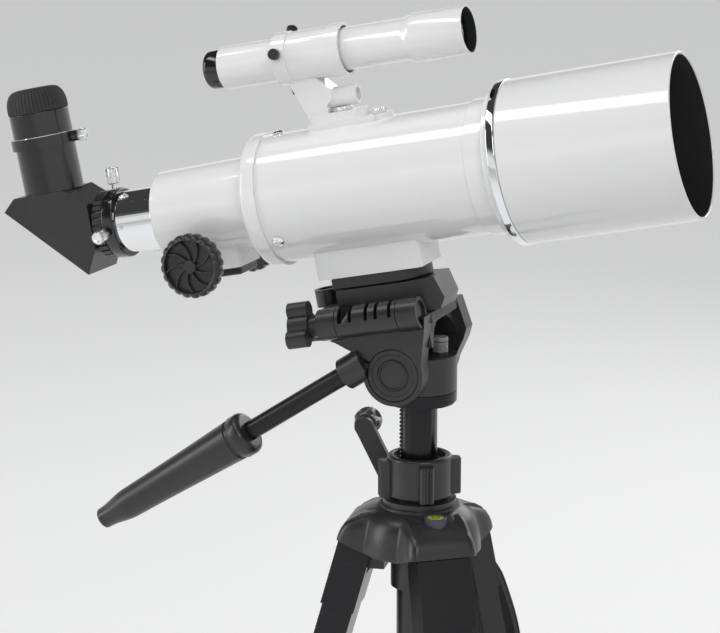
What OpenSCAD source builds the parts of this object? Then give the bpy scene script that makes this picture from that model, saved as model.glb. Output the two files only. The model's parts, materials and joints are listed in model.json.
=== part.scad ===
// Small refracting telescope on a folding camera tripod.
// Millimetres, +Z up. The feet stand on z = 0 and the origin is below the middle
// of the whole model. The telescope points along +X and slightly upwards.

/* [Telescope tube] */
// Upward tilt of the telescope at rest, in degrees
pitch = 11.3; // [0:0.1:25]
// Outer radius of the main tube
tube_r = 40; // [36:0.5:42]
// Outer radius of the dew shield
shield_r = 49.5; // [46:0.5:56]
// Length of the dew shield
shield_l = 104.7; // [80:0.1:120]
// Wall of the dew shield
shield_wall = 2; // [1.5:0.1:3]
// Clear radius of the objective lens
aperture_r = 35; // [30:0.5:36]
// Distance of the optical axis above the tilt axis
axis_rise = 112.8; // [110:0.2:120]

/* [Focuser and eyepiece] */
// Outer radius of the chromed drawtube
draw_r = 19.65; // [18:0.05:20.5]
// Radius of the focus knobs
knob_r = 20; // [16:0.5:22]
// Outer radius of an eyepiece barrel that slides into the fittings
barrel_r = 15.87; // [15.8:0.01:15.9]
// Radius of the grip of the eyepiece
grip_r = 19.4; // [17:0.1:20]

/* [Finder] */
// Outer radius of the finder tube
finder_r = 13.3; // [11:0.1:14]
// Height of the finder axis above the optical axis
finder_rise = 83.9; // [80:0.1:90]
// Downward lean of the finder against the optical axis, in degrees
finder_dip = 0.9; // [0:0.1:2]

/* [Tripod] */
// Length of a closed leg from its hinge to the floor
leg_l = 440; // [420:5:460]
// Lean of each leg from the vertical, in degrees
splay = 15.7; // [12:0.1:19]
// Radius of the centre column
column_r = 10.85; // [10:0.05:11.5]
// Length of the centre column below the head
column_l = 300; // [280:5:320]
// Width of the upper leg section
leg_w = 30; // [28:1:32]
// Depth of the upper leg section
leg_d = 20; // [19:0.5:22]
// Radius of a rubber foot
foot_r = 12; // [11:0.5:15]

/* [Fits] */
// Gap left between pieces that move past each other
gap = 0.4; // [0.3:0.05:0.5]
// Radial clearance of a running fit
fit = 0.05; // [0.02:0.01:0.08]

/* [Hidden] */
$fn = 96;

// Heights of the tripod, worked out from the floor up.
hinge_r = 39;
hinge_z = leg_l * cos(splay);
foot_ring = hinge_r + leg_l * sin(splay);
leg_angles = [37.5, 157.5, 277.5];
crown_top = hinge_z + 31;
neck_top = hinge_z + 37;
ring_bottom = neck_top + 1.5;
ring_top = ring_bottom + 26.2;
collet_top = ring_top - 3;
head_base = hinge_z + 98;
pan_seam = head_base + 8;
drum_top = head_base + 31;
tilt_z = hinge_z + 122;
tilt_x = -5;

// Stations along the optical axis, counted from a point above the column.
axis_shift = 27.6;
tube_back = -93.2;
tube_front = 55;
collar_back = 42;
collar_front = 59.1;
trim_l = 5.3;
shield_back = collar_front + trim_l;
shield_front = shield_back + shield_l;
flange_back = -104;
housing_back = -171.6;
draw_back = -203;
draw_l = 113;
adapter_back = draw_back - 13;
adapter_split = draw_back - 5.5;
adapter_front = draw_back + 2.5;
diag_front = adapter_back - 1.2;
eyepiece_s = diag_front - 31;
pinion_s = -140.5;
pinion_t = -28.5;
grip_shoulder = 84;
eyepiece_top = 93.7;
flange_screw_s = -86;
foot_screw_s = -60;

// Walls, radii and depths of the pieces of the tube.
tube_wall = 1.5;
collar_r = 41.3;
trim_seat_r = 46.5;
flange_r = 41.7;
lens_r = 37;
lens_h = 11;
flange_screw_r = 1.6;
flange_screw_turn = 3.7;
rack_w = 5;
rack_h = 1.75;
shaft_r = 3;
pinion_r = 6.9;
gearbox_bottom = -37;
knob_back = 39.5;
knob_face = 50.5;
adapter_r = 22.4;
screw_r = 1.8;
top_screw_s = draw_back - 2.2;
side_screw_s = draw_back - 3.4;
side_screw_turn = 97;

// The star diagonal, seen square to its flat sides, and the eyepiece on it.
diag_w = 40;
diag_top = 27.1;
diag_outline = [[eyepiece_s - 28.1, 19.4], [eyepiece_s - 19.5, diag_top],
    [eyepiece_s + 17, diag_top], [diag_front, 16.2], [diag_front, -12.3],
    [diag_front - 8.3, -28]];
holder_r = 19.1;
band_base = 56;
band_top = 63;
grip_base = 78.5;
band_mid = 59.5;
barrel_l = 25;
thread_l = 4;
mirror_l = 46;
mirror_w = 34;
mirror_h = 3;

// Mounting foot and finder.
foot_back = -71.8;
foot_front = -2.9;
foot_bottom = -52;
foot_w = 39;
mount_screw_r = 3.1;
ring_back = -26;
ring_front = 18;
ring_r = 15.6;
finder_screw_u = -21.5;
finder_screw_r = 1.5;
finder_head_r = 3.4;
finder_head_u = ring_r + 3;
finder_screw_turns = [78, 198, 318];
finder_end = 96.4;
finder_lens_u = 88;
finder_lens_r = 12.8;
foot_plate_t = tube_r + 2.4;
foot_pad_t = tube_r + 7.5;
arm_boss_t = 56;
// Nuts that hold the bracket: station, height of the seat, head radius, head height.
finder_nuts = [[-19, foot_plate_t, 4.6, 3.2], [-42, foot_pad_t, 6.4, 1.9]];

// Tilting head, in a frame whose origin lies on the tilt axis.
frame_top = 33;
frame_nose = 27;
plate_base = 53.8;
plate_top = axis_rise + foot_bottom;
pocket_floor = 49.4;
pocket_x = -6;
pocket_l = 40;
pocket_w = 31;
plate_back = -35;
plate_nose = 23.4;
plate_w = 40;
platform_back = -33;
platform_nose = 33.5;
platform_w = 42;
barrel_y = -36;
barrel_z = 36;
hinge_barrel_r = 9.7;
barrel_start = -40;
barrel_end = 25;
frame_knuckle = [-27.6, 11.6];
platform_knuckles = [[barrel_start, frame_knuckle[0] - gap], [frame_knuckle[1] + gap, barrel_end]];
knuckle_slots = [-25.4, -18.6, -8.2, -1.8, 7];
pin_start = barrel_start + 7;
knob_a = -59;
lever_a = -29;
lever_y = 12;
lever_z = plate_base - 8.8;
lever_h = 4;
cheek_r = 19;
cheek_in = 24.3;
cheek_out = 37;
axle_r = 5;
cap_r = 16.4;
handle_y = -33;
rod_r = 6;
grip_start = 95.6;
handle_l = 198.6;
grip_end = handle_l - 10.6;
rod_grip = 60;
flange_end_r = 14;
drum_r = 22.8;
spigot_r = 8;
spigot_h = 9;

// Column, crank and crown. The rack's direction is counted from the front, -Y.
rack_angle = -80;
rack_wide = 5;
rack_out = 1.6;
rack_pitch = 2.5;
crank_offset = 22.5;
crank_z = hinge_z + 17.6;
crank_gear_r = crank_offset - column_r - rack_out - 0.15;
crank_out = 58;
crank_l = 52;
crank_lean = 26.5;
collet_r = 16;
lug_w = 23.4;
lobe_r = 48.6;
lobe_base = 11;
guide_r = 14.1;
guide_bottom = hinge_z - 157;
bubble_r = 7;
bubble_seat_r = 31;

// Legs and braces, measured down each leg from its hinge.
pin_r = 3;
leg_in = -9.5;
leg_wall = 1.5;
cap_w = 34;
cap_d = leg_d + 2;
cap_l = 36;
apron_h = 2.5;
upper_l = leg_l - 55;
foot_h = 14;
lower_l = upper_l - 35;
bow_rise = 6.5;
bow_crown = 8;
bow_half = 74;
bow_middle = 83;
bow_w = 18;
bow_h = 4;
brace_at = 230;
brace_l = 110;

// Pins of a brace in the upright plane of its leg: outer end, inner end and rise.
pin_out = hinge_r + (leg_in - 6.5) * cos(splay) + brace_at * sin(splay);
pin_z = (leg_in - 6.5) * sin(splay) - brace_at * cos(splay);
pin_in = guide_r + 10;
brace_rise = sqrt(brace_l * brace_l - (pin_out - pin_in) * (pin_out - pin_in));
brace_hub_z = hinge_z + pin_z + brace_rise;

// The model is shifted sideways so that its box is centred on the origin.
box_right = tilt_x + (axis_shift + shield_front) * cos(pitch)
    - (axis_rise - shield_r) * sin(pitch);
box_left = tilt_x + (axis_shift + eyepiece_s - grip_r) * cos(pitch)
    - (axis_rise + grip_shoulder) * sin(pitch);
box_near = -foot_ring * cos(leg_angles[0]) - foot_r;
box_far = -foot_ring * cos(leg_angles[1]) + foot_r;
column_x = -(box_right + box_left) / 2;
column_y = -(box_near + box_far) / 2;

// ---- Shared shapes and frames ----

// A tube standing on the plane z = 0.
module pipe(outer, inner, h) {
    difference() {
        cylinder(r = outer, h = h);
        translate([0, 0, -1]) cylinder(r = inner, h = h + 2);
    }
}

// A disc whose rim carries evenly spaced ribs, standing on z = 0.
module ribbed_disc(r, h, ribs, rib_w = 1.6, rib_h = 0.8) {
    cylinder(r = r - rib_h, h = h);
    for (i = [0 : ribs - 1])
        rotate([0, 0, i * 360 / ribs])
            translate([r - rib_h - 0.5, -rib_w / 2, 0]) cube([rib_h + 0.5, rib_w, h]);
}

// A flat plate with rounded corners, centred on the origin, standing on z = 0.
module rounded_plate(length, width, h, corner) {
    linear_extrude(height = h)
        for (turn = [0, 1]) {
            square([length - 2 * corner * turn, width - 2 * corner * (1 - turn)], center = true);
            for (x = [-1, 1], y = [-1, 1])
                translate([x * (length / 2 - corner), y * (width / 2 - corner)]) circle(r = corner);
        }
}

// Thumbscrew with a ribbed head, its tip at z = 0, pointing up.
module thumbscrew(stem_r, stem_l, head_r, head_l) {
    cylinder(r = stem_r, h = stem_l + 1);
    translate([0, 0, stem_l]) ribbed_disc(head_r, head_l, 16, 0.8, 0.4);
}

// Frame with its origin on the floor, below the centre column.
module at_column() {
    translate([column_x, column_y, 0]) children();
}

// Frame of the tilting head: x along the telescope, z square to it.
module on_head() {
    at_column() translate([tilt_x, 0, tilt_z]) rotate([0, -pitch, 0]) children();
}

// Frame of the optics: x along the optical axis, z square to it.
module on_tube() {
    on_head() translate([axis_shift, 0, axis_rise]) children();
}

// Puts a shape that stands on z = 0 at a station, pointing along the tube.
module facing_front(s) {
    on_tube() translate([s, 0, 0]) rotate([0, 90, 0]) children();
}

// Frame of the finder, with its origin in the middle of the bracket.
module on_finder() {
    on_tube() translate([-50, 0, finder_rise]) rotate([0, finder_dip, 0]) children();
}

// Puts a shape that stands on z = 0 at a station of the finder, pointing forwards.
module finder_front(u) {
    on_finder() translate([u, 0, 0]) rotate([0, 90, 0]) children();
}

// Frame of leg i: origin at the hinge line, x outwards, z up along the leg.
module on_leg(i) {
    at_column() rotate([0, 0, leg_angles[i] - 90])
        translate([hinge_r, 0, hinge_z]) rotate([0, -splay, 0]) children();
}

// ---- Telescope tube ----

module main_tube() {
    color("white") difference() {
        facing_front(tube_back) pipe(tube_r, tube_r - tube_wall, tube_front - tube_back);
        flange_screw_holes();
        facing_up_at(foot_screw_s, -tube_r - 1) cylinder(r = 3, h = 5);
        for (nut = finder_nuts)
            facing_up_at(nut[0], tube_r - 4) cylinder(r = 2, h = 6);
    }
}

// Three screws hold the rear flange inside the tube.
module at_flange_screws() {
    for (turn = [0 : 2])
        on_tube() translate([flange_screw_s, 0, 0])
            rotate([flange_screw_turn + turn * 120, 0, 0])
                translate([0, 0, tube_r - tube_wall]) children();
}

module flange_screw_holes() {
    at_flange_screws() translate([0, 0, -9]) cylinder(r = flange_screw_r + fit, h = 12);
}

// Puts an upright shape on the underside or top of the tube, at height t.
module facing_up_at(s, t) {
    on_tube() translate([s, 0, t]) children();
}

module tube_screws() {
    color("silver") at_flange_screws() {
        translate([0, 0, -7]) cylinder(r = flange_screw_r, h = 9);
        translate([0, 0, tube_wall]) difference() {
            intersection() {
                cylinder(r = 3.6, h = 2.2);
                translate([0, 0, -4.4]) sphere(r = 6.5);
            }
            for (turn = [0, 90])
                rotate([0, 0, turn]) translate([-2.2, -0.4, 1]) cube([4.4, 0.8, 2]);
        }
    }
}

// Cast housing: tapered body, rolled flange, and a spigot inside the main tube.
module housing_outline() {
    flange_l = tube_back - flange_back;
    lip = 4;
    lip_z = flange_back - housing_back + lip;
    polygon([[0, 0], [27, 0], [28, 1], [29.4, lip_z], [29.4, lip_z + flange_l - lip], [0, lip_z]]);
    translate([0, flange_back - housing_back]) square([flange_r - lip, flange_l]);
    translate([0, lip_z]) square([flange_r, flange_l - lip]);
    translate([flange_r - lip, lip_z]) circle(r = lip);
    translate([0, tube_back - housing_back - 1]) square([tube_r - tube_wall, 14.2]);
}

module focuser_housing() {
    bore_l = 22;
    color("white") difference() {
        union() {
            facing_front(housing_back) rotate_extrude() housing_outline();
            on_tube() translate([pinion_s - 18, -16, gearbox_bottom])
                cube([36, 32, -gearbox_bottom - 20]);
        }
        facing_front(housing_back - 1) cylinder(r = draw_r + fit, h = 100);
        facing_front(housing_back + bore_l) cylinder(r = 24, h = 100);
        facing_front(flange_back + 3) cylinder(r = 35, h = 40);
        on_tube() translate([housing_back - 1, -rack_w / 2 - gap, -draw_r - rack_h - gap])
            cube([bore_l + 2, rack_w + 2 * gap, rack_h + 3]);
        on_tube() translate([pinion_s, 0, pinion_t]) rotate([90, 0, 0]) {
            cylinder(r = pinion_r + gap, h = 10, center = true);
            cylinder(r = shaft_r + fit, h = 60, center = true);
        }
        on_tube() translate([pinion_s - pinion_r, -5, pinion_t]) cube([2 * pinion_r, 10, 12]);
        flange_screw_holes();
    }
}

// Cell that carries the lens: a collar over the tube and a seat for the dew shield.
module objective_cell() {
    seat_s = tube_front + 2;
    color("white") facing_front(collar_back) difference() {
        union() {
            cylinder(r = collar_r, h = collar_front - collar_back);
            translate([0, 0, tube_front - collar_back])
                cylinder(r = trim_seat_r, h = shield_back - tube_front);
            translate([0, 0, shield_back - collar_back])
                cylinder(r = shield_r - shield_wall, h = 10);
        }
        translate([0, 0, -1]) cylinder(r = tube_r, h = tube_front - collar_back + 1);
        cylinder(r = aperture_r, h = 60);
        translate([0, 0, seat_s - collar_back]) cylinder(r = lens_r, h = 60);
    }
}

module objective_lens() {
    color("lightblue", 0.5) facing_front(tube_front + 2) intersection() {
        cylinder(r = lens_r, h = lens_h);
        translate([0, 0, lens_h - 140]) sphere(r = 140);
    }
}

// Polished ring between the cell and the dew shield.
module dew_trim_ring() {
    color("silver") facing_front(collar_front) rotate_extrude() difference() {
        union() {
            translate([trim_seat_r, 0]) square([shield_r - trim_seat_r, trim_l]);
            translate([trim_seat_r, 0.8]) square([shield_r + 0.5 - trim_seat_r, trim_l - 1.6]);
        }
    }
}

module dew_shield() {
    lip = 1.4;
    color("white") facing_front(shield_back) rotate_extrude() {
        translate([shield_r - shield_wall, 0]) square([shield_wall, shield_l - lip / 2]);
        translate([shield_r - shield_wall, shield_l - lip]) square([shield_wall - lip / 2, lip]);
        translate([shield_r - lip / 2, shield_l - lip / 2]) circle(r = lip / 2);
    }
}

// ---- Focuser ----

module drawtube() {
    tooth = 2.5;
    rack_l = 96;
    color("silver") {
        facing_front(draw_back) pipe(draw_r, draw_r - 1.6, draw_l);
        on_tube() translate([draw_back + draw_l - rack_l, -rack_w / 2, 0]) {
            translate([0, 0, -draw_r - rack_h / 2]) cube([rack_l, rack_w, rack_h]);
            for (i = [0 : rack_l / tooth - 1])
                translate([i * tooth, 0, -draw_r - rack_h]) cube([tooth / 2, rack_w, rack_h]);
        }
    }
}

module pinion_shaft() {
    color("silver") on_tube() translate([pinion_s, 0, pinion_t]) rotate([90, 0, 0]) {
        cylinder(r = shaft_r, h = 2 * knob_face - 8, center = true);
        translate([0, 0, -4]) ribbed_disc(pinion_r, 8, 18, 1.2, 1.2);
    }
}

// Both knobs: ribbed rim, recessed face with curved spokes, and a hub.
module focus_knobs() {
    color("dimgray")
        for (side = [-1, 1])
            on_tube() translate([pinion_s, side * knob_back, pinion_t])
                rotate([side * -90, 0, 0]) focus_knob();
}

module focus_knob() {
    knob_h = knob_face - knob_back;
    difference() {
        union() {
            ribbed_disc(knob_r, knob_h - 1.5, 20, 3.4, 1.3);
            cylinder(r = knob_r - 2, h = knob_h);
        }
        translate([0, 0, -1]) cylinder(r = shaft_r, h = knob_h - 2);
        translate([0, 0, knob_h - 3]) difference() {
            cylinder(r = knob_r - 4, h = 4);
            cylinder(r = 4.5, h = 4);
            for (turn = [0 : 8])
                rotate([0, 0, turn * 40]) curved_spoke(4);
        }
    }
}

// One spoke of a knob, bent like a petal, from the hub to the rim.
module curved_spoke(h) {
    bend = 14;
    intersection() {
        translate([0, bend, -0.5]) difference() {
            cylinder(r = bend + 1, h = h);
            translate([0, 0, -1]) cylinder(r = bend - 1, h = h + 2);
        }
        translate([0, -1, -1]) cube([knob_r, knob_r, h + 2]);
    }
}

// Cover under the gearbox, fixed below the pinion.
module pinion_cover() {
    color("dimgray") on_tube() translate([pinion_s - 17, -13, gearbox_bottom - 5])
        cube([34, 26, 5]);
}

module drawtube_adapter() {
    color("dimgray") difference() {
        union() {
            facing_front(adapter_split) cylinder(r = adapter_r, h = adapter_front - adapter_split);
            facing_front(adapter_back)
                ribbed_disc(adapter_r - 0.4, adapter_split - adapter_back + 1, 30, 3.6, 0.8);
        }
        facing_front(adapter_back - 1) cylinder(r = barrel_r + fit, h = 40);
        facing_front(draw_back) cylinder(r = draw_r, h = 40);
        at_adapter_screw(top_screw_s, 0) cylinder(r = screw_r + fit, h = 40, center = true);
        at_adapter_screw(side_screw_s, side_screw_turn)
            cylinder(r = screw_r + fit, h = 40, center = true);
    }
}

// Places a clamp screw square to the optical axis, turned about it.
module at_adapter_screw(s, turn) {
    on_tube() translate([s, 0, 0]) rotate([turn, 0, 0])
        translate([0, 0, barrel_r + gap]) children();
}

module adapter_screw(s, turn) {
    color("silver") at_adapter_screw(s, turn)
        thumbscrew(screw_r, adapter_r + 2.5 - barrel_r, 4.3, 10.5);
}

// ---- Star diagonal and eyepiece ----

// Body with a slanted mirror face and a barrel that slides into the adapter.
module diagonal_body() {
    light_r = barrel_r - 2.2;
    color("dimgray") difference() {
        on_tube() rotate([90, 0, 0])
            linear_extrude(height = diag_w, center = true) polygon(diag_outline);
        facing_front(eyepiece_s) cylinder(r = light_r, h = 80);
        on_tube() translate([eyepiece_s, 0, 0]) cylinder(r = light_r, h = 40);
        on_tube() translate([eyepiece_s, 0, 0]) sphere(r = light_r);
        at_mirror() translate([-mirror_l / 2, -mirror_w / 2, -mirror_h])
            cube([mirror_l, mirror_w, mirror_h + 3]);
        facing_front(diag_front - thread_l) cylinder(r = barrel_r + fit, h = thread_l + 1);
    }
    color("silver") facing_front(diag_front - thread_l + fit)
        pipe(barrel_r, light_r, barrel_l + thread_l - fit);
}

// Frame on the middle of the mirror's face, z along its normal.
module at_mirror() {
    on_tube() translate([eyepiece_s, 0, 0]) rotate([0, 45, 0]) children();
}

module diagonal_mirror() {
    color("lightsteelblue") at_mirror()
        translate([0, 0, -mirror_h / 2]) cube([mirror_l, mirror_w, mirror_h], center = true);
}

// Frame of the eyepiece: origin on the optical axis, z up along the eyepiece.
module on_eyepiece(z) {
    on_tube() translate([eyepiece_s, 0, z]) children();
}

module eyepiece_holder() {
    boss_l = 5;
    color("black") difference() {
        union() {
            on_eyepiece(diag_top) cylinder(r = holder_r, h = band_top - diag_top);
            on_eyepiece(band_base) cylinder(r = holder_r + 2, h = band_top - band_base);
            on_eyepiece(band_mid) rotate([0, 90, 0]) cylinder(r = 3.4, h = holder_r + boss_l);
        }
        on_eyepiece(diag_top - 1) cylinder(r = barrel_r + fit, h = 60);
        at_band_screw(-2) cylinder(r = screw_r + fit, h = 30);
    }
}

// Frame of the screw in the holder's band, z pointing outwards.
module at_band_screw(h) {
    on_eyepiece(band_mid) rotate([0, 90, 0]) translate([0, 0, barrel_r + gap + h]) children();
}

module eyepiece_thumbscrew() {
    color("silver") at_band_screw(0) thumbscrew(screw_r, holder_r + 5.5 - barrel_r, 4, 5.5);
}

// Barrel of the eyepiece, and the turned body that it is screwed into.
module eyepiece_body() {
    shoulder = band_top + gap;
    color("silver") on_eyepiece(shoulder - barrel_l)
        pipe(barrel_r, barrel_r - 1.6, barrel_l + thread_l - fit);
    color("black") difference() {
        on_eyepiece(shoulder) pipe(grip_r - 0.3, barrel_r - 1.6, grip_base - shoulder);
        on_eyepiece(shoulder - 1) cylinder(r = barrel_r + fit, h = thread_l + 1);
    }
}

// Ribbed rubber cap of the eyepiece, narrowing towards the eye.
module eyepiece_grip() {
    eye_r = 8;
    rim = 14.3;
    color("dimgray") difference() {
        union() {
            on_eyepiece(grip_base) ribbed_disc(grip_r, grip_shoulder - grip_base, 48, 1.2, 0.8);
            on_eyepiece(grip_shoulder - 0.5)
                cylinder(r1 = grip_r - 1.2, r2 = rim, h = eyepiece_top - grip_shoulder + 0.5);
        }
        on_eyepiece(grip_base - 1) cylinder(r = barrel_r - 1.6, h = grip_shoulder - grip_base + 1);
        on_eyepiece(grip_base - 1) cylinder(r = eye_r, h = 40);
    }
}

module eyepiece_lens() {
    color("lightblue", 0.5) on_eyepiece(grip_base - 6) intersection() {
        cylinder(r = barrel_r - 1.6, h = grip_shoulder - grip_base + 6);
        translate([0, 0, -24]) sphere(r = 35);
    }
}

// ---- Mounting foot ----

// Block cast to the curve of the tube, with the threaded hole for the head's screw.
module mounting_foot() {
    color("white") difference() {
        facing_up_at((foot_back + foot_front) / 2, foot_bottom)
            rounded_plate(foot_front - foot_back, foot_w, tube_r, 3);
        facing_front(foot_back - 1) cylinder(r = tube_r, h = foot_front - foot_back + 2);
        facing_up_at(-axis_shift, foot_bottom - 1) cylinder(r = mount_screw_r + fit, h = 10);
        facing_up_at(foot_screw_s, foot_bottom - 1) cylinder(r = 3, h = 20);
    }
}

// ---- Finder ----

// Bracket: ring around the finder, leaning arm with a hollow boss, pad and curved foot.
module finder_bracket() {
    color("white") difference() {
        union() {
            finder_front(ring_back) cylinder(r = ring_r, h = ring_front - ring_back);
            finder_front(ring_back) cylinder(r = ring_r + 0.8, h = 9);
            finder_front(ring_front - 9) cylinder(r = ring_r + 0.8, h = 9);
            on_tube() rotate([90, 0, 0]) linear_extrude(height = 15, center = true)
                polygon([[-72, 72], [-53, 70], [-44.5, 61.5], [-44.5, 56], [-48.8, 52],
                    [-48.8, 38], [-61, 38], [-62, 46]]);
            on_tube() translate([-52, 0, arm_boss_t]) rotate([0, 90, 0]) cylinder(r = 6.3, h = 22);
            on_tube() translate([-62, -11, 36])
                cube([62 + finder_nuts[0][0], 22, foot_plate_t - 36]);
            facing_up_at(finder_nuts[0][0], 36) cylinder(r = 9, h = foot_plate_t - 36);
            on_tube() translate([-60, -9, 38]) cube([26, 18, foot_pad_t - 38]);
            facing_up_at(-34, 38) cylinder(r = 9, h = foot_pad_t - 38);
            for (turn = finder_screw_turns)
                at_finder_screw(turn) cylinder(r = 4.2, h = ring_r + 2);
        }
        finder_front(ring_back - 1) cylinder(r = finder_r + 1.2, h = 80);
        facing_front(-80) cylinder(r = tube_r, h = 80);
        for (turn = finder_screw_turns) {
            at_finder_screw(turn) cylinder(r = finder_screw_r + fit, h = 40);
            at_finder_screw(turn) translate([0, 0, finder_head_u - gap])
                cylinder(r = finder_head_r + gap, h = 8);
        }
        on_tube() translate([-36, 0, arm_boss_t]) rotate([0, 90, 0]) cylinder(r = 4, h = 10);
        for (nut = finder_nuts)
            facing_up_at(nut[0], tube_r - 4) cylinder(r = 2, h = nut[1] - tube_r + 5);
    }
}

// Frame of one finder screw, z pointing away from the finder's axis.
module at_finder_screw(turn) {
    on_finder() translate([finder_screw_u, 0, 0]) rotate([turn, 0, 0]) children();
}

// Three alignment screws and the two nuts that hold the bracket on the tube.
module finder_screws() {
    color("dimgray") for (turn = finder_screw_turns)
        at_finder_screw(turn) translate([0, 0, finder_r])
            thumbscrew(finder_screw_r, finder_head_u - finder_r, finder_head_r, 5);
    color("silver") for (nut = finder_nuts) {
        facing_up_at(nut[0], tube_r - tube_wall) cylinder(r = 2, h = nut[1] - tube_r + tube_wall + 1);
        facing_up_at(nut[0], nut[1]) ribbed_disc(nut[2], nut[3], 24, 0.6, 0.4);
    }
}

module finder_tube() {
    bell_u = 58;
    color("white") difference() {
        union() {
            finder_front(-64) cylinder(r = finder_r, h = bell_u + 64);
            finder_front(bell_u) cylinder(r1 = finder_r, r2 = 15, h = 5);
            finder_front(bell_u + 5) cylinder(r1 = 15, r2 = 14.4, h = finder_end - bell_u - 5);
        }
        finder_front(-65) cylinder(r = finder_r - 1.3, h = 200);
        finder_front(finder_lens_u) cylinder(r = finder_lens_r, h = 60);
    }
}

module finder_lens() {
    color("lightblue", 0.5) finder_front(finder_lens_u) intersection() {
        cylinder(r = finder_lens_r, h = 4.5);
        translate([0, 0, 4.5 - 60]) sphere(r = 60);
    }
}

// Black eyepiece pushed into the rear of the finder.
module finder_eyepiece() {
    color("black") difference() {
        union() {
            finder_front(-75) cylinder(r = 11.8, h = 11);
            finder_front(-65) cylinder(r = finder_r - 1.3, h = 18);
        }
        finder_front(-76) cylinder(r = 5, h = 60);
    }
}

// ---- Tilting head ----

// Plate that stays on the telescope and drops into the platform.
module quick_plate() {
    color("dimgray") difference() {
        union() {
            on_head() translate([0, 0, plate_base])
                linear_extrude(height = plate_top - plate_base) plate_outline();
            on_head() translate([pocket_x, 0, pocket_floor + gap])
                rounded_plate(pocket_l - 2 * gap, pocket_w - 2 * gap, plate_base - pocket_floor, 3);
        }
        on_head() cylinder(r = mount_screw_r + fit, h = 80);
        on_head() cylinder(r = 9.5, h = pocket_floor + 4.5);
    }
}

// The plate seen from above: square at the rear, round at the front.
module plate_outline() {
    round_x = plate_nose - plate_w / 2;
    translate([round_x, 0]) circle(r = plate_w / 2);
    translate([plate_back, -plate_w / 2]) square([round_x - plate_back, plate_w]);
}

// Screw from below that clamps the plate to the mounting foot.
module plate_screw() {
    color("silver") on_head() translate([0, 0, pocket_floor + 1]) difference() {
        union() {
            cylinder(r = 9, h = 3.5);
            cylinder(r = mount_screw_r, h = plate_top - pocket_floor + 7);
        }
        translate([-10, -0.8, -1]) cube([20, 1.6, 2.2]);
    }
}

// Platform that holds the plate; its knuckles turn on the long side barrel.
module platform() {
    web_w = -barrel_y - platform_w / 2 + 6;
    color("dimgray") difference() {
        union() {
            platform_block();
            for (span = platform_knuckles) {
                barrel(span[0], span[1] - span[0]);
                on_head() translate([span[0], barrel_y, barrel_z])
                    cube([min(span[1], 20) - span[0], web_w, 9]);
            }
            on_head() translate([pin_start, barrel_y, barrel_z]) rotate([0, 90, 0])
                cylinder(r = shaft_r, h = frame_knuckle[1] + 2 - pin_start);
        }
        on_head() translate([pocket_x, 0, pocket_floor]) rounded_plate(pocket_l, pocket_w, 20, 3);
        barrel_bore(pin_start - barrel_start);
        on_head() translate([barrel_end - 1.5, barrel_y, barrel_z]) rotate([0, 90, 0])
            cylinder(r = hinge_barrel_r - 2.2, h = 5);
        on_head() translate([-34, -3, lever_z - gap]) cube([9.5, 40, lever_h + 2 * gap]);
    }
    color("dimgray") on_head() translate([lever_a, lever_y, lever_z - 2])
        cylinder(r = 2, h = lever_h + 3);
}

// Body of the platform, with its nose narrowed in plan and undercut in side view.
module platform_block() {
    side = platform_w / 2;
    nose_side = side - 7.4;
    intersection() {
        on_head() rotate([90, 0, 0]) linear_extrude(height = platform_w, center = true)
            polygon([[platform_back, frame_top + gap], [platform_nose - 3.5, frame_top + gap],
                [platform_nose, 40], [platform_nose - 4.2, plate_base - gap],
                [platform_back, plate_base - gap]]);
        on_head() linear_extrude(height = plate_base)
            polygon([[platform_back, -side], [10.7, -side], [platform_nose, -nose_side],
                [platform_nose, nose_side], [10.7, side], [platform_back, side]]);
    }
}

// A stretch of the hinge barrel, from a along the telescope.
module barrel(a, length) {
    on_head() translate([a, barrel_y, barrel_z]) rotate([0, 90, 0])
        cylinder(r = hinge_barrel_r, h = length);
}

// Bore along the barrel, from its start over the given length.
module barrel_bore(length) {
    on_head() translate([barrel_start - 1, barrel_y, barrel_z]) rotate([0, 90, 0])
        cylinder(r = shaft_r + fit, h = length + 1);
}

// Thumb lever that swings out at the rear of the platform and frees the plate.
module release_lever() {
    reach = [-18.5, -9];
    loop_r = 8.5;
    loop_wall = 2.5;
    color("dimgray") on_head() translate([lever_a, lever_y, lever_z]) difference() {
        union() {
            cylinder(r = 4, h = lever_h);
            rotate([0, 0, atan2(reach[1], reach[0])])
                translate([1, -2.5, 0]) cube([norm(reach) - loop_r + 1, 5, lever_h - 0.5]);
            translate([reach[0], reach[1], -3]) cylinder(r = loop_r, h = 11);
        }
        translate([reach[0], reach[1], -4]) cylinder(r = loop_r - loop_wall, h = 20);
        translate([0, 0, -1]) cylinder(r = 2 + fit, h = 8);
    }
}

// Screw along the barrel with a three-lobed knob that clamps the platform.
module flip_knob() {
    lobe_l = 13;
    color("dimgray") on_head() translate([knob_a, barrel_y, barrel_z]) rotate([0, 90, 0]) {
        cylinder(r = shaft_r, h = pin_start - gap - knob_a);
        cylinder(r = 7, h = barrel_start - gap - knob_a);
        cylinder(r = 9, h = lobe_l);
        for (turn = [0 : 2])
            rotate([0, 0, turn * 120 + 60]) translate([10.5, 0, 0]) cylinder(r = 5.5, h = lobe_l);
    }
}

// One cheek of the tilting frame, seen along the tilt axis.
module cheek_outline() {
    circle(r = cheek_r);
    polygon([[-34, frame_top], [-36, 26], [-18, 12.8], [-8, 0], [16, -8], [19, 3], [20.4, 8.6],
        [frame_nose - 2, 24], [frame_nose, frame_top]]);
}

// Top plate of the tilting frame, with its front corners cut back.
module frame_top_outline() {
    polygon([[-34, -cheek_out], [15, -cheek_out], [frame_nose, -cheek_in], [frame_nose, cheek_in],
        [15, cheek_out], [-34, cheek_out]]);
}

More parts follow.
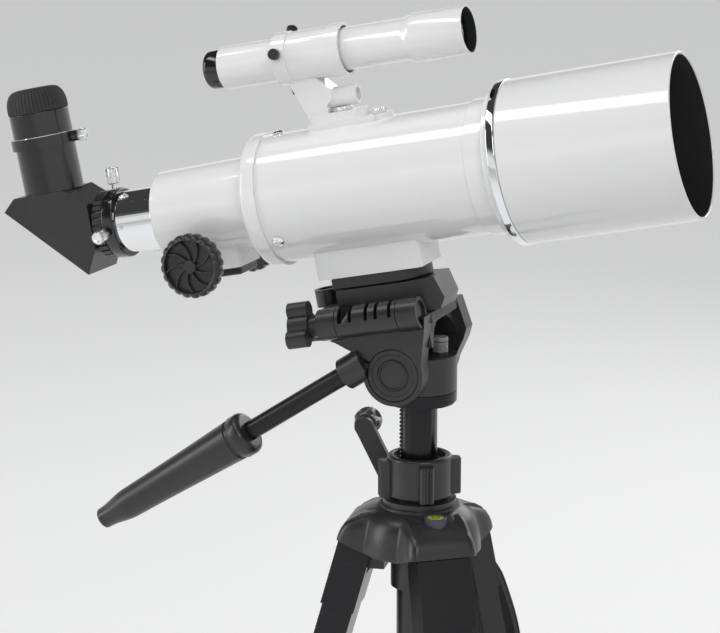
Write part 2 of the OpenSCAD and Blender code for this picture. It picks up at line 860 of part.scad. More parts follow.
// Rounded corners that join the cheeks to the top plate.
module frame_arch() {
    difference() {
        on_head() translate([-20, -cheek_in - 1, 12])
            cube([frame_nose + 17, 2 * cheek_in + 2, frame_top - 14]);
        on_head() translate([-21, 0, 3]) rotate([0, 90, 0]) cylinder(r = cheek_in, h = frame_nose + 20);
    }
}

module tilt_frame() {
    top_h = 6;
    color("dimgray") difference() {
        union() {
            for (side = [-1, 1])
                on_head() translate([0, side * (cheek_in + cheek_out) / 2, 0]) rotate([90, 0, 0])
                    linear_extrude(height = cheek_out - cheek_in, center = true) cheek_outline();
            on_head() translate([0, (cheek_in + cheek_out) / 2, 0]) rotate([90, 0, 0])
                linear_extrude(height = cheek_out - cheek_in, center = true)
                    polygon([[0, frame_top], [frame_nose, frame_top], [frame_nose + 3, 13],
                        [frame_nose, 7], [15, -10], [0, -10]]);
            on_head() translate([0, 0, frame_top - top_h])
                linear_extrude(height = top_h) frame_top_outline();
            frame_arch();
            barrel(frame_knuckle[0], frame_knuckle[1] - frame_knuckle[0]);
            intersection() {
                at_handle(-16) cylinder(r = 10, h = 16);
                on_head() translate([-60, -60, -60]) cube([60, 60 - cheek_in, 120]);
            }
        }
        on_head() rotate([90, 0, 0]) {
            cylinder(r = axle_r, h = 100, center = true);
            for (side = [-1, 1])
                translate([0, 0, side * (cheek_out + 8)]) cylinder(r = cap_r, h = 20, center = true);
        }
        at_handle(-14) cylinder(r = rod_r + fit, h = 40);
        barrel_bore(barrel_end - barrel_start);
        for (span = platform_knuckles)
            barrel_room(span[0] - gap, span[1] - span[0] + 2 * gap);
        for (x = knuckle_slots)
            on_head() translate([x, barrel_y - 12, barrel_z + 1]) cube([2.2, 24, 12]);
        on_head() rotate([0, -55, 0]) translate([-1, -cheek_out - 1, 12]) cube([2, 20, 30]);
    }
}

// Space around a platform knuckle that the frame leaves free.
module barrel_room(a, length) {
    on_head() translate([a, barrel_y, barrel_z]) rotate([0, 90, 0])
        cylinder(r = hinge_barrel_r + gap, h = length);
}

// Tilt axle with its two end caps.
module tilt_caps() {
    color("dimgray") on_head() rotate([90, 0, 0]) {
        cylinder(r = axle_r - fit, h = 2 * cheek_out, center = true);
        for (side = [-1, 1]) {
            translate([0, 0, side * (cheek_out - 1)]) cylinder(r = cap_r - fit, h = 2, center = true);
            translate([0, 0, side * cheek_out]) difference() {
                cylinder(r = 9.4, h = 2, center = true);
                translate([0, 0, side * 1]) cylinder(r = 8.2, h = 1, center = true);
            }
        }
    }
}

// Frame of the pan handle, z running down along the rod, d from the socket's mouth.
module at_handle(d) {
    on_head() translate([-31.4, handle_y, 3.9]) rotate([0, -112, 0])
        translate([0, 0, d]) children();
}

module handle_rod() {
    color("black") at_handle(-14) cylinder(r = rod_r, h = grip_start + 14 + rod_grip);
}

// Moulded grip: it flares smoothly from the rod and ends in a flange.
module handle_grip() {
    neck_r = rod_r + 0.8;
    shoulder_r = 9.9;
    end_r = 13.2;
    flare_l = 24;
    flare = [for (t = [0 : 0.1 : 1])
        [neck_r + (shoulder_r - neck_r) * (1 - cos(180 * t)) / 2, grip_start - 20 + flare_l * t]];
    color("dimgray") at_handle(0) rotate_extrude()
        polygon(concat([[rod_r, grip_start + rod_grip], [rod_r, grip_start - 20]], flare,
            [[end_r, grip_end - 2], [end_r - 0.7, grip_end - 1.4], [end_r - 0.7, grip_end + 1],
            [flange_end_r, grip_end + 1.6], [flange_end_r, handle_l - 3.5],
            [end_r, handle_l - 1], [end_r - 2.4, handle_l], [0, handle_l],
            [0, grip_start + rod_grip]]));
}

// Upper half of the panning drum, carrying the tilt axle between the cheeks.
module pan_drum() {
    color("dimgray") difference() {
        union() {
            at_column() translate([0, 0, pan_seam + gap])
                cylinder(r = drum_r, h = drum_top - pan_seam - gap);
            at_column() translate([tilt_x + 18, 0, drum_top - 1]) ribbed_disc(4.5, 12, 20, 0.8, 0.4);
            on_head() rotate([90, 0, 0]) cylinder(r = 9, h = 2 * cheek_in - 2 * gap, center = true);
        }
        on_head() rotate([90, 0, 0]) cylinder(r = axle_r, h = 80, center = true);
        at_column() translate([0, 0, pan_seam - 1]) cylinder(r = spigot_r + fit, h = spigot_h + 1.5);
    }
}

// ---- Centre column and crown ----

// Hollow column with a toothed rack, and the lower half of the pan drum on top.
module centre_column() {
    rack_l = column_l - 60;
    color("dimgray") {
        at_column() translate([0, 0, head_base - column_l])
            pipe(column_r, column_r - 1.3, column_l);
        at_column() translate([0, 0, head_base]) cylinder(r = drum_r - 1.2, h = 2);
        at_column() translate([0, 0, head_base + 1.5]) cylinder(r = drum_r, h = pan_seam - head_base - 1.5);
        at_column() translate([0, 0, pan_seam - 1]) cylinder(r = spigot_r, h = spigot_h + 1);
        on_rack() translate([column_r - 0.6, -rack_wide / 2, head_base - 4 - rack_l]) {
            cube([1, rack_wide, rack_l]);
            for (i = [0 : rack_l / rack_pitch - 1])
                translate([0, 0, i * rack_pitch]) cube([rack_out + 0.6, rack_wide, rack_pitch / 2]);
        }
    }
}

// Frame turned so that x points from the column's axis to its rack.
module on_rack() {
    at_column() rotate([0, 0, rack_angle - 90]) children();
}

// Lock ring with four grooved wings, screwed down on the collet of the crown.
module column_lock_ring() {
    ring_h = ring_top - ring_bottom;
    color("dimgray") difference() {
        union() {
            at_column() translate([0, 0, ring_bottom]) cylinder(r = 20.2, h = ring_h);
            for (turn = [30, 120, 210, 300])
                at_column() rotate([0, 0, turn - 90]) translate([21.5, 0, ring_bottom]) {
                    translate([-4.5, -4.5, 0]) cube([4.5, 9, ring_h - 3]);
                    cylinder(r = 4.5, h = ring_h - 3);
                }
        }
        at_column() translate([0, 0, ring_bottom - 1]) cylinder(r = collet_r + fit, h = 40);
        for (turn = [30, 120, 210, 300])
            at_column() rotate([0, 0, turn - 90]) translate([24.8, -2.2, ring_bottom - 1])
                cube([4, 4.4, ring_h - 6]);
    }
}

// Frame of the crank, z outwards along its shaft, x away from the column.
module on_crank(k) {
    on_rack() translate([crank_offset, 0, crank_z]) rotate([90, 0, 0])
        translate([0, 0, k]) children();
}

module crank_arm() {
    color("dimgray") {
        on_crank(-9) cylinder(r = shaft_r, h = crank_out + 10);
        on_crank(-3.5) ribbed_disc(crank_gear_r, 7, 24, 1.2, 1);
        on_crank(crank_out) rotate([0, 0, -crank_lean]) {
            translate([-6, 0, 0]) cube([12, crank_l, 5.5]);
            cylinder(r = 7, h = 5.5);
            translate([0, crank_l, 0]) cylinder(r = 6.2, h = 5.5);
            translate([0, crank_l, 5]) cylinder(r = 2.5, h = 12);
        }
    }
}

// Lobed grip that spins on the pin of the crank.
module crank_knob() {
    color("lightgray") difference() {
        on_crank(crank_out + 5.5 + gap) rotate([0, 0, -crank_lean]) translate([0, crank_l, 0]) {
            cylinder(r = 7.5, h = 14);
            for (turn = [0 : 4])
                rotate([0, 0, turn * 72]) translate([6, 0, 3]) cylinder(r = 3.2, h = 11);
        }
        on_crank(crank_out) rotate([0, 0, -crank_lean]) translate([0, crank_l, 0])
            cylinder(r = 2.5 + fit, h = 17.5);
    }
}

// Side shape of one lobe of the crown: radius across, height up from the hinge.
module lobe_profile() {
    polygon([[10, 31], [26, 30.6], [33, 28.8], [39.5, 25.2], [44.6, 20], [47.6, 15],
        [lobe_r, lobe_base], [20, lobe_base]]);
}

// Casting that joins the legs: neck, dome, three lobes with lugs, and guide tube.
module crown() {
    color("dimgray") difference() {
        union() {
            at_column() translate([0, 0, hinge_z]) rotate_extrude() crown_outline();
            for (turn = leg_angles)
                at_column() rotate([0, 0, turn - 90]) translate([0, 0, hinge_z])
                    rotate([90, 0, 0]) {
                        linear_extrude(height = 35, center = true) lobe_profile();
                        linear_extrude(height = lug_w, center = true) {
                            translate([20, -8.5]) square([hinge_r - 20, 21]);
                            translate([hinge_r, 0]) circle(r = 8.5);
                            translate([hinge_r - 2, 0]) square([8, 13]);
                        }
                    }
            crown_skirt();
            on_crank(0) cylinder(r = 8.5, h = crank_out - 6);
        }
        at_column() translate([0, 0, guide_bottom - 1]) cylinder(r = column_r + 0.9, h = 500);
        on_rack() translate([column_r - 3, -rack_wide / 2 - gap, guide_bottom - 1])
            cube([3 + rack_out + gap, rack_wide + 2 * gap, 500]);
        on_crank(-10) cylinder(r = shaft_r + fit, h = crank_out + 10);
        on_crank(-4) cylinder(r = crank_gear_r + gap, h = 8);
        for (i = [0 : 2]) leg_pin(i, 50, pin_r + fit);
        at_bubble() cylinder(r = bubble_r, h = 20);
    }
    color("dimgray") for (z = [neck_top + 4, hinge_z - 20])
        bushing(z);
}

// Wall of the dome between the legs, cut away where they swing.
module crown_skirt() {
    difference() {
        at_column() translate([0, 0, hinge_z]) rotate_extrude()
            polygon([[20, 4], [34.5, 4], [35.8, 6], [36, 14], [33, 22], [20, 22]]);
        for (turn = leg_angles)
            at_column() rotate([0, 0, turn - 90])
                translate([26.5, -cap_w / 2 - 1, hinge_z - 20]) cube([40, cap_w + 2, 20 + lobe_base]);
    }
}

// Split bushing that guides the column, open where the rack passes.
module bushing(z) {
    difference() {
        at_column() translate([0, 0, z]) pipe(column_r + 1, column_r + fit, 8);
        on_rack() translate([0, -rack_wide / 2 - gap, z - 1])
            cube([30, rack_wide + 2 * gap, 10]);
    }
}

// Half section of the crown's turned shape: radius across, height up.
module crown_outline() {
    polygon([[0, guide_bottom - hinge_z], [guide_r, guide_bottom - hinge_z], [guide_r, -20],
        [17.8, -20], [17.8, -3], [22, -1], [24, 3], [24, 12], [33, 13], [34.5, 19],
        [32.5, 26], [28, 30], [24.5, 31.5], [24.5, 33.5], [22.9, 33.5], [22.9, 37],
        [collet_r, 37], [collet_r, collet_top - hinge_z], [0, collet_top - hinge_z]]);
}

// Hinge pin of leg i, as a cylinder across the leg.
module leg_pin(i, length, r) {
    on_leg(i) rotate([90, 0, 0]) cylinder(r = r, h = length, center = true);
}

// Seat of the bubble level, on the slope above the front leg.
module at_bubble() {
    at_column() rotate([0, 0, leg_angles[0] - 90]) translate([bubble_seat_r, 0, crown_top - 5])
        children();
}

module bubble_level() {
    color("greenyellow") at_bubble() cylinder(r = bubble_r, h = 5.4);
    color("darkgreen") at_bubble() translate([0, 0, 5.4]) cylinder(r = 5, h = 1);
}

// Ring that slides on the guide tube and carries the inner ends of the braces.
module brace_hub() {
    color("dimgray") difference() {
        union() {
            at_column() translate([0, 0, brace_hub_z - 7]) cylinder(r = guide_r + 3, h = 14);
            for (turn = leg_angles, side = [-1, 1])
                at_column() rotate([0, 0, turn - 90])
                    translate([guide_r + 1, side * 6.5 - 1.5, brace_hub_z - 7]) cube([12, 3, 14]);
        }
        at_column() translate([0, 0, brace_hub_z - 8]) cylinder(r = guide_r + fit, h = 20);
    }
}

// ---- Legs ----

// Upper section: cheeks at the hinge, moulded cap, and a hollow channel.
module leg_upper(i) {
    color("dimgray") difference() {
        union() {
            on_leg(i) translate([leg_in, -leg_w / 2, -upper_l]) cube([leg_d, leg_w, upper_l - 10]);
            leg_cap(i);
            on_leg(i) translate([leg_in - 1 + cap_d - apron_h, -cap_w / 2, -12])
                cube([apron_h, cap_w, 19.5]);
            on_leg(i) translate([leg_in - 2, -cap_w / 2 - 0.5, -upper_l])
                cube([cap_d + 2, cap_w + 1, 34]);
            for (side = [-1, 1])
                on_leg(i) translate([0, side * (cap_w + lug_w + 2 * gap) / 4, 0])
                    rotate([90, 0, 0])
                        linear_extrude(height = (cap_w - lug_w - 2 * gap) / 2, center = true) {
                            circle(r = 10.5);
                            translate([leg_in - 1, -25]) square([cap_d, 25]);
                        }
            for (side = [-1, 1]) {
                on_leg(i) translate([leg_in - 11, side * 6.8 - 1.8, -brace_at - 5])
                    cube([12, 3.6, 10]);
                on_leg(i) translate([leg_in + leg_d - 1, side * 15.5 - 2, -upper_l + 24])
                    cube([11.5, 4, 8]);
            }
        }
        on_leg(i) translate([leg_in + leg_wall, -leg_w / 2 + leg_wall, -upper_l - 1])
            cube([leg_d - 2 * leg_wall, leg_w - 2 * leg_wall, upper_l - 13]);
        leg_pin(i, 50, pin_r);
        brace_pin(i) cylinder(r = 2.5 + fit, h = 60, center = true);
    }
    color("silver") leg_pin(i, cap_w, pin_r);
    color("silver") lock_pin(i) cylinder(r = 1.5, h = 36, center = true);
}

// Moulded cap around the top of the channel of leg i.
module leg_cap(i) {
    on_leg(i) translate([leg_in - 1, -cap_w / 2, -cap_l]) cube([cap_d, cap_w, cap_l - 10]);
}

// Frame on the pin of brace arm i, at the inner face of the leg.
module brace_pin(i) {
    on_leg(i) translate([leg_in - 6.5, 0, -brace_at]) rotate([90, 0, 0]) children();
}

// Lower section, sliding inside the upper one.
module leg_lower(i) {
    color("silver") on_leg(i)
        translate([leg_in + leg_wall + gap, -leg_w / 2 + leg_wall + gap, -leg_l + foot_h])
            cube([leg_d - 2 * (leg_wall + gap), leg_w - 2 * (leg_wall + gap), lower_l]);
}

// Rubber foot, round and upright, pressed over the end of the lower section.
module leg_foot(i) {
    color("black") difference() {
        union() {
            at_foot(i) cylinder(r = foot_r, h = foot_h + 8);
            at_foot(i) cylinder(r = foot_r - 2, h = foot_h + 11);
        }
        leg_lower_space(i);
    }
}

// Upright frame on the floor, where the line of leg i meets it.
module at_foot(i) {
    at_column() rotate([0, 0, leg_angles[i] - 90]) translate([foot_ring, 0, 0]) children();
}

module leg_lower_space(i) {
    on_leg(i)
        translate([leg_in + leg_wall + gap, -leg_w / 2 + leg_wall + gap, -leg_l + foot_h])
            cube([leg_d - 2 * (leg_wall + gap), leg_w - 2 * (leg_wall + gap), 60]);
}

// Flap at the end of the upper section that clamps the lower one.
module leg_lock(i) {
    color("dimgray") difference() {
        lock_pin(i) {
            cylinder(r = 4, h = 26, center = true);
            translate([-3.5, -26, -13]) cube([5.5, 26, 26]);
        }
        lock_pin(i) cylinder(r = 1.5 + fit, h = 30, center = true);
    }
}

// Frame on the pin of lock flap i: x outwards from the leg, y up along it.
module lock_pin(i) {
    on_leg(i) translate([leg_in + cap_d + 4.5, 0, -upper_l + 28]) rotate([90, 0, 0]) children();
}

// Brace between a leg and the sliding hub, with its pin at the leg.
module brace_arm(i) {
    inward = atan2(pin_out - pin_in, brace_rise);
    color("dimgray") at_column() rotate([0, 0, leg_angles[i] - 90])
        translate([pin_out, 0, hinge_z + pin_z]) rotate([0, -inward, 0]) {
            rotate([90, 0, 0]) cylinder(r = 2.5, h = 18, center = true);
            rotate([90, 0, 0]) linear_extrude(height = 9, center = true) {
                circle(r = 4.5);
                translate([0, brace_l]) circle(r = 4);
                translate([-3, 0]) square([6, brace_l]);
            }
        }
}

// Bowed band for carrying the closed tripod, on the outside of one leg.
module carry_handle() {
    face = leg_in + leg_d;
    steps = 28;
    band = [for (k = [0 : steps]) [face + bow_gap(k / steps), bow_half * (1 - 2 * k / steps)]];
    outside = [for (k = [steps : -1 : 0]) [band[k][0] + bow_h, band[k][1]]];
    color("dimgray") difference() {
        on_leg(1) translate([0, 0, -bow_middle]) rotate([90, 0, 0]) {
            linear_extrude(height = bow_w, center = true) polygon(concat(band, outside));
            for (y = [-bow_half, bow_half - 8])
                translate([face, y, -bow_w / 2 - 1]) cube([bow_h, 8, bow_w + 2]);
        }
        on_leg(1) translate([leg_in - 1, -cap_w / 2, -cap_l]) cube([cap_d, cap_w, cap_l + 8]);
    }
}

// Height of the band above the leg, t = 0 and 1 at its ends: a quick rise, then a slow one.
function bow_gap(t) =
    bow_rise * (1 - cos(180 * min(1, min(t, 1 - t) * 2 * bow_half / 32))) / 2
    + bow_crown * (1 - cos(360 * t)) / 2;

main_tube();
focuser_housing();
tube_screws();
objective_cell();
objective_lens();
dew_trim_ring();
dew_shield();
drawtube();
pinion_shaft();
focus_knobs();
pinion_cover();
drawtube_adapter();
adapter_screw(top_screw_s, 0);  // adapter_screw_top
adapter_screw(side_screw_s, side_screw_turn);  // adapter_screw_side
diagonal_body();
diagonal_mirror();
eyepiece_holder();
eyepiece_thumbscrew();
eyepiece_body();
eyepiece_grip();
eyepiece_lens();
mounting_foot();
finder_bracket();
finder_tube();
finder_lens();
finder_eyepiece();
finder_screws();
quick_plate();
plate_screw();
platform();
release_lever();
flip_knob();
tilt_frame();
tilt_caps();
handle_rod();
handle_grip();
pan_drum();
centre_column();
column_lock_ring();
crank_arm();
crank_knob();
crown();
bubble_level();
brace_hub();
carry_handle();
leg_upper(0);  // leg_upper_1
leg_upper(1);  // leg_upper_2
leg_upper(2);  // leg_upper_3
leg_lower(0);  // leg_lower_1
leg_lower(1);  // leg_lower_2
leg_lower(2);  // leg_lower_3
leg_foot(0);  // leg_foot_1
leg_foot(1);  // leg_foot_2
leg_foot(2);  // leg_foot_3
leg_lock(0);  // leg_lock_1
leg_lock(1);  // leg_lock_2
leg_lock(2);  // leg_lock_3
brace_arm(0);  // brace_arm_1
brace_arm(1);  // brace_arm_2
brace_arm(2);  // brace_arm_3
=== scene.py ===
# A small refracting telescope on a folding camera tripod, dressed over its CAD frame.
# Lengths are in metres, and each piece is built where it stands in the frame.
import json
from math import atan2, cos, pi, radians, sin

import bmesh
import bpy
from mathutils import Matrix, Vector


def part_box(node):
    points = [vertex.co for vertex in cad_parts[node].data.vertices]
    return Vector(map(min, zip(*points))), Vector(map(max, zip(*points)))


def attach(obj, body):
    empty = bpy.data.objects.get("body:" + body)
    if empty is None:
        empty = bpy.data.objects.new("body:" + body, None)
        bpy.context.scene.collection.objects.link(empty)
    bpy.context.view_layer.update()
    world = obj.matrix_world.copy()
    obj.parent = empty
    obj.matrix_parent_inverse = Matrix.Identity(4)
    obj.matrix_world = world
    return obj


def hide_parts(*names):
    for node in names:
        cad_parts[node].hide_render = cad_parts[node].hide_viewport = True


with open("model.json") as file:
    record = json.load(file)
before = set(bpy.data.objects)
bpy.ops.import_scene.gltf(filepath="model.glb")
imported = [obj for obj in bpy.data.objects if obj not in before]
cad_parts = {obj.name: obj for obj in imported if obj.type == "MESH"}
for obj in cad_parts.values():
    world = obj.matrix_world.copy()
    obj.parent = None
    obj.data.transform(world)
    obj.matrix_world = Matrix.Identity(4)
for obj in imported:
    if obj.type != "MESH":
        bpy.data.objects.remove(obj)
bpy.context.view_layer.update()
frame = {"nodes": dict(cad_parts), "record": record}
scene = bpy.context.scene
scene.view_settings.view_transform = "Standard"


# ---- The room: floor, soft lamps and camera ----
# A pale seamless floor under wide soft lamps, in a studio with a dark ceiling, so that
# polished metal shows bright and dark bands. The camera stands to the right of the
# near side, a little above the telescope.
FLOOR_HALF = 30
FLOOR_COLOUR = (0.8, 0.8, 0.8, 1.0)
FLOOR_LIFT = 0.3
CAMERA_FROM_COLUMN = Vector((0.4558, -1.3424))
CAMERA_HEIGHT = 0.8810
CAMERA_TILT = 77.82
CAMERA_TURN = 20.253
LENS_MM = 118.24
SENSOR_MM = 36


def add_node(tree, kind, inputs=(), **settings):
    """Adds a node; each input, by name or by place, gets a socket to read or a plain value."""
    node = tree.nodes.new(kind)
    for label, value in settings.items():
        setattr(node, label, value)
    for label, value in (inputs.items() if isinstance(inputs, dict) else enumerate(inputs)):
        if isinstance(value, bpy.types.NodeSocket):
            tree.links.new(value, node.inputs[label])
        else:
            node.inputs[label].default_value = value
    return node


def add_piece(name, mesh):
    piece = bpy.data.objects.new(name, mesh)
    scene.collection.objects.link(piece)
    return piece


def seen_directly(tree):
    """1 for rays from the camera and for those mirrored or passed on by metal and glass."""
    path = add_node(tree, "ShaderNodeLightPath").outputs
    mirrored = add_node(tree, "ShaderNodeMath", [path["Is Glossy Ray"], path["Is Transmission Ray"]],
                        operation="MAXIMUM")
    return add_node(tree, "ShaderNodeMath", [path["Is Camera Ray"], mirrored.outputs[0]],
                    operation="MAXIMUM").outputs[0]


floor_mesh = bpy.data.meshes.new("floor")
floor_mesh.from_pydata([(x * FLOOR_HALF, y * FLOOR_HALF, 0) for x, y in ((-1, -1), (1, -1), (1, 1), (-1, 1))],
                       [], [(0, 1, 2, 3)])
add_piece("floor", floor_mesh)
floor_paint = bpy.data.materials.new("floor_paint")
floor_paint.use_nodes = True
floor_tree = floor_paint.node_tree
floor_shader = floor_tree.nodes["Principled BSDF"]
floor_shader.inputs["Base Color"].default_value = FLOOR_COLOUR
floor_shader.inputs["Roughness"].default_value = 0.9
floor_shader.inputs["Emission Color"].default_value = FLOOR_COLOUR
floor_lift = add_node(floor_tree, "ShaderNodeMath", [seen_directly(floor_tree), FLOOR_LIFT], operation="MULTIPLY")
floor_tree.links.new(floor_lift.outputs[0], floor_shader.inputs["Emission Strength"])
floor_mesh.materials.append(floor_paint)

world = bpy.data.worlds.new("studio")
world.use_nodes = True
world_tree = world.node_tree
room_light = world_tree.nodes["Background"]
room_light.inputs["Color"].default_value = (0.86, 0.87, 0.88, 1.0)
room_light.inputs["Strength"].default_value = 0.5
height = add_node(world_tree, "ShaderNodeSeparateXYZ",
                  [add_node(world_tree, "ShaderNodeTexCoord").outputs["Generated"]]).outputs["Z"]
ceiling = add_node(world_tree, "ShaderNodeMapRange",
                   {"Value": height, "From Min": 0.2, "From Max": 0.42, "To Min": 0.85, "To Max": 0.05},
                   interpolation_type="SMOOTHSTEP")
room_seen = add_node(world_tree, "ShaderNodeBackground", {"Color": ceiling.outputs["Result"]})
room_mix = add_node(world_tree, "ShaderNodeMixShader",
                    [seen_directly(world_tree), room_light.outputs[0], room_seen.outputs[0]])
world_tree.links.new(room_mix.outputs[0], world_tree.nodes["World Output"].inputs["Surface"])
scene.world = world


def soft_lamp(name, place, size, power, aim=(0, 0, 0.6)):
    light = bpy.data.lights.new(name, "AREA")
    light.shape = "RECTANGLE"
    light.size, light.size_y = size
    light.energy = power
    lamp = bpy.data.objects.new(name, light)
    lamp.location = place
    lamp.rotation_euler = (Vector(aim) - Vector(place)).to_track_quat("-Z", "Y").to_euler()
    scene.collection.objects.link(lamp)


soft_lamp("key_lamp", (1.5, -1.9, 2.3), (1.2, 1.2), 20)
soft_lamp("left_lamp", (-2.2, -1.0, 1.2), (0.5, 1.8), 14)
soft_lamp("top_lamp", (-0.6, -0.75, 2.4), (1.8, 0.4), 12)
soft_lamp("back_lamp", (0.6, 2.2, 1.5), (1.6, 0.8), 12)

column_low, column_high = (Vector(corner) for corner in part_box("centre_column"))
column_axis = Vector(((column_low.x + column_high.x) / 2, (column_low.y + column_high.y) / 2))
camera_data = bpy.data.cameras.new("camera")
camera_data.lens = LENS_MM
camera_data.sensor_width = SENSOR_MM
camera = bpy.data.objects.new("camera", camera_data)
camera.location = (*(column_axis + CAMERA_FROM_COLUMN), CAMERA_HEIGHT)
camera.rotation_euler = (radians(CAMERA_TILT), 0, radians(CAMERA_TURN))
scene.collection.objects.link(camera)
scene.camera = camera


# ---- Crown ----
# One black casting that joins the legs: a domed cover with a rounded lobe over each
# leg, the neck that the lock ring sits on, and the tube below that guides the column.
def new_group(name, inputs, outputs):
    """A shader node group with named sockets: (name, kind, value) for each input."""
    tree = bpy.data.node_groups.new(name, "ShaderNodeTree")
    for label, kind, value in inputs:
        tree.interface.new_socket(label, in_out="INPUT", socket_type=kind).default_value = value
    for label, kind in outputs:
        tree.interface.new_socket(label, in_out="OUTPUT", socket_type=kind)
    return tree, tree.nodes.new("NodeGroupInput").outputs, tree.nodes.new("NodeGroupOutput").inputs


def noise_in(tree, place, scale, detail=2.0, roughness=0.5):
    return add_node(tree, "ShaderNodeTexNoise",
                    {"Vector": place, "Scale": scale, "Detail": detail, "Roughness": roughness}).outputs["Fac"]


def range_in(tree, value, low, high, start=0.3, end=0.7):
    """Maps a value from start..end to low..high."""
    return add_node(tree, "ShaderNodeMapRange",
                    {"Value": value, "From Min": start, "From Max": end, "To Min": low, "To Max": high}
                    ).outputs["Result"]


def blend_in(tree, share, first, second):
    """A colour between two, by share."""
    node = add_node(tree, "ShaderNodeMix", {"Factor": share}, data_type="RGBA")
    for place, value in ((6, first), (7, second)):
        tree.links.new(value, node.inputs[place])
    return node.outputs[2]


def build_surface_group():
    """Uneven colour, uneven gloss, dust specks and a fine relief, shared by every finish."""
    number, colour = "NodeSocketFloat", "NodeSocketColor"
    tree, values, results = new_group(
        "surface_variation",
        [("Colour", colour, (0.8, 0.8, 0.8, 1)), ("Worn Colour", colour, (0.9, 0.9, 0.9, 1)),
         ("Patch Scale", number, 18.0), ("Grain Scale", number, 900.0), ("Low Gloss", number, 0.2),
         ("High Gloss", number, 0.3), ("Relief", number, 0.1), ("Dust", number, 0.2)],
        [("Colour", colour), ("Roughness", number), ("Normal", "NodeSocketVector")])
    place = add_node(tree, "ShaderNodeTexCoord").outputs["Object"]
    patches = noise_in(tree, place, values["Patch Scale"], 4.0)
    grain = noise_in(tree, place, values["Grain Scale"], 3.0, 0.6)
    specks = range_in(tree, noise_in(tree, place, 260.0), 0.0, values["Dust"], 0.66, 0.74)
    uneven = blend_in(tree, range_in(tree, patches, 0.0, 0.35), values["Colour"], values["Worn Colour"])
    tree.links.new(blend_in(tree, specks, uneven, values["Worn Colour"]), results["Colour"])
    tree.links.new(range_in(tree, patches, values["Low Gloss"], values["High Gloss"]), results["Roughness"])
    bump = add_node(tree, "ShaderNodeBump", {"Distance": 0.0004, "Strength": values["Relief"], "Height": grain})
    tree.links.new(bump.outputs["Normal"], results["Normal"])
    return tree


surface_variation = build_surface_group()


def finish(name, colour, worn, gloss, patch=18.0, grain=900.0, relief=0.1, dust=0.2, **plain):
    """A material with the shared variation; plain values go straight on the shader."""
    material = bpy.data.materials.new(name)
    material.use_nodes = True
    tree = material.node_tree
    shader = tree.nodes["Principled BSDF"]
    group = tree.nodes.new("ShaderNodeGroup")
    group.node_tree = surface_variation
    values = {"Colour": (*colour, 1), "Worn Colour": (*worn, 1), "Patch Scale": patch, "Grain Scale": grain,
              "Low Gloss": gloss[0], "High Gloss": gloss[1], "Relief": relief, "Dust": dust}
    for label, value in values.items():
        group.inputs[label].default_value = value
    for result, socket in (("Colour", "Base Color"), ("Roughness", "Roughness"), ("Normal", "Normal")):
        tree.links.new(group.outputs[result], shader.inputs[socket])
    for label, value in plain.items():
        shader.inputs[label.replace("_", " ")].default_value = value
    return material


body_of_node = {node: body for body, nodes in frame["record"]["behaviour"]["bodies"].items() for node in nodes}


def mount(piece, node):
    """A piece takes a CAD node's place: it rides the node's body, and the node is hidden."""
    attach(piece, body_of_node[node])
    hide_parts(node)


def bake_modifiers(piece):
    """Turns a piece and its modifiers into a plain mesh."""
    bpy.context.view_layer.update()
    done = bpy.data.meshes.new_from_object(piece.evaluated_get(bpy.context.evaluated_depsgraph_get()))
    piece.modifiers.clear()
    piece.data = done


def break_edges(piece, width, segments, sharp):
    bevel = piece.modifiers.new("broken_edges", "BEVEL")
    bevel.width = width
    bevel.segments = segments
    bevel.limit_method = "ANGLE"
    bevel.angle_limit = radians(sharp)
    bevel.harden_normals = True
    bake_modifiers(piece)


def solids_in(shape):
    """Gives each face of a bmesh the number of the closed solid it belongs to."""
    numbers = {}
    for first in shape.faces:
        if first in numbers:
            continue
        number = len(set(numbers.values()))
        waiting = [first]
        numbers[first] = number
        while waiting:
            for edge in waiting.pop().edges:
                for face in edge.link_faces:
                    if face not in numbers:
                        numbers[face] = number
                        waiting.append(face)
    return numbers


def soften(node, *materials, width=0.0004, segments=2, sharp=32, pick=None):
    """A CAD node's solids with their edges broken, as moulded and turned pieces have them.
    pick(centre) chooses a material for the solid whose middle is at centre."""
    mesh = frame["nodes"][node].data.copy()
    mesh.name = node + "_finished"
    mesh.materials.clear()
    shape = bmesh.new()
    shape.from_mesh(mesh)
    bmesh.ops.remove_doubles(shape, verts=shape.verts, dist=2 * MERGE)
    bmesh.ops.dissolve_limit(shape, angle_limit=radians(1.0), verts=shape.verts, edges=shape.edges)
    choice = {}
    if pick:
        numbers = solids_in(shape)
        for number in set(numbers.values()):
            corners = [vert.co for face in shape.faces if numbers[face] == number for vert in face.verts]
            choice[number] = pick(sum(corners, Vector()) / len(corners))
    for face in shape.faces:
        face.smooth = True
        face.material_index = choice[numbers[face]] if pick else 0
    shape.to_mesh(mesh)
    shape.free()
    mesh.set_sharp_from_angle(angle=radians(sharp))
    for material in materials:
        mesh.materials.append(material)
    piece = add_piece(node + "_finished", mesh)
    break_edges(piece, width, segments, sharp)
    return piece


def dress(node, *materials, **edges):
    """A CAD node's softened solids take its place."""
    mount(soften(node, *materials, **edges), node)


def seal(mesh, sharp):
    """Smooth faces that look outwards, no slivers, and edges kept where they are sharp."""
    shape = bmesh.new()
    shape.from_mesh(mesh)
    for face in shape.faces:
        face.smooth = True
    bmesh.ops.remove_doubles(shape, verts=shape.verts, dist=MERGE)
    bmesh.ops.dissolve_degenerate(shape, edges=shape.edges, dist=MERGE)
    bmesh.ops.recalc_face_normals(shape, faces=shape.faces)
    shape.to_mesh(mesh)
    shape.free()
    mesh.set_sharp_from_angle(angle=radians(sharp))


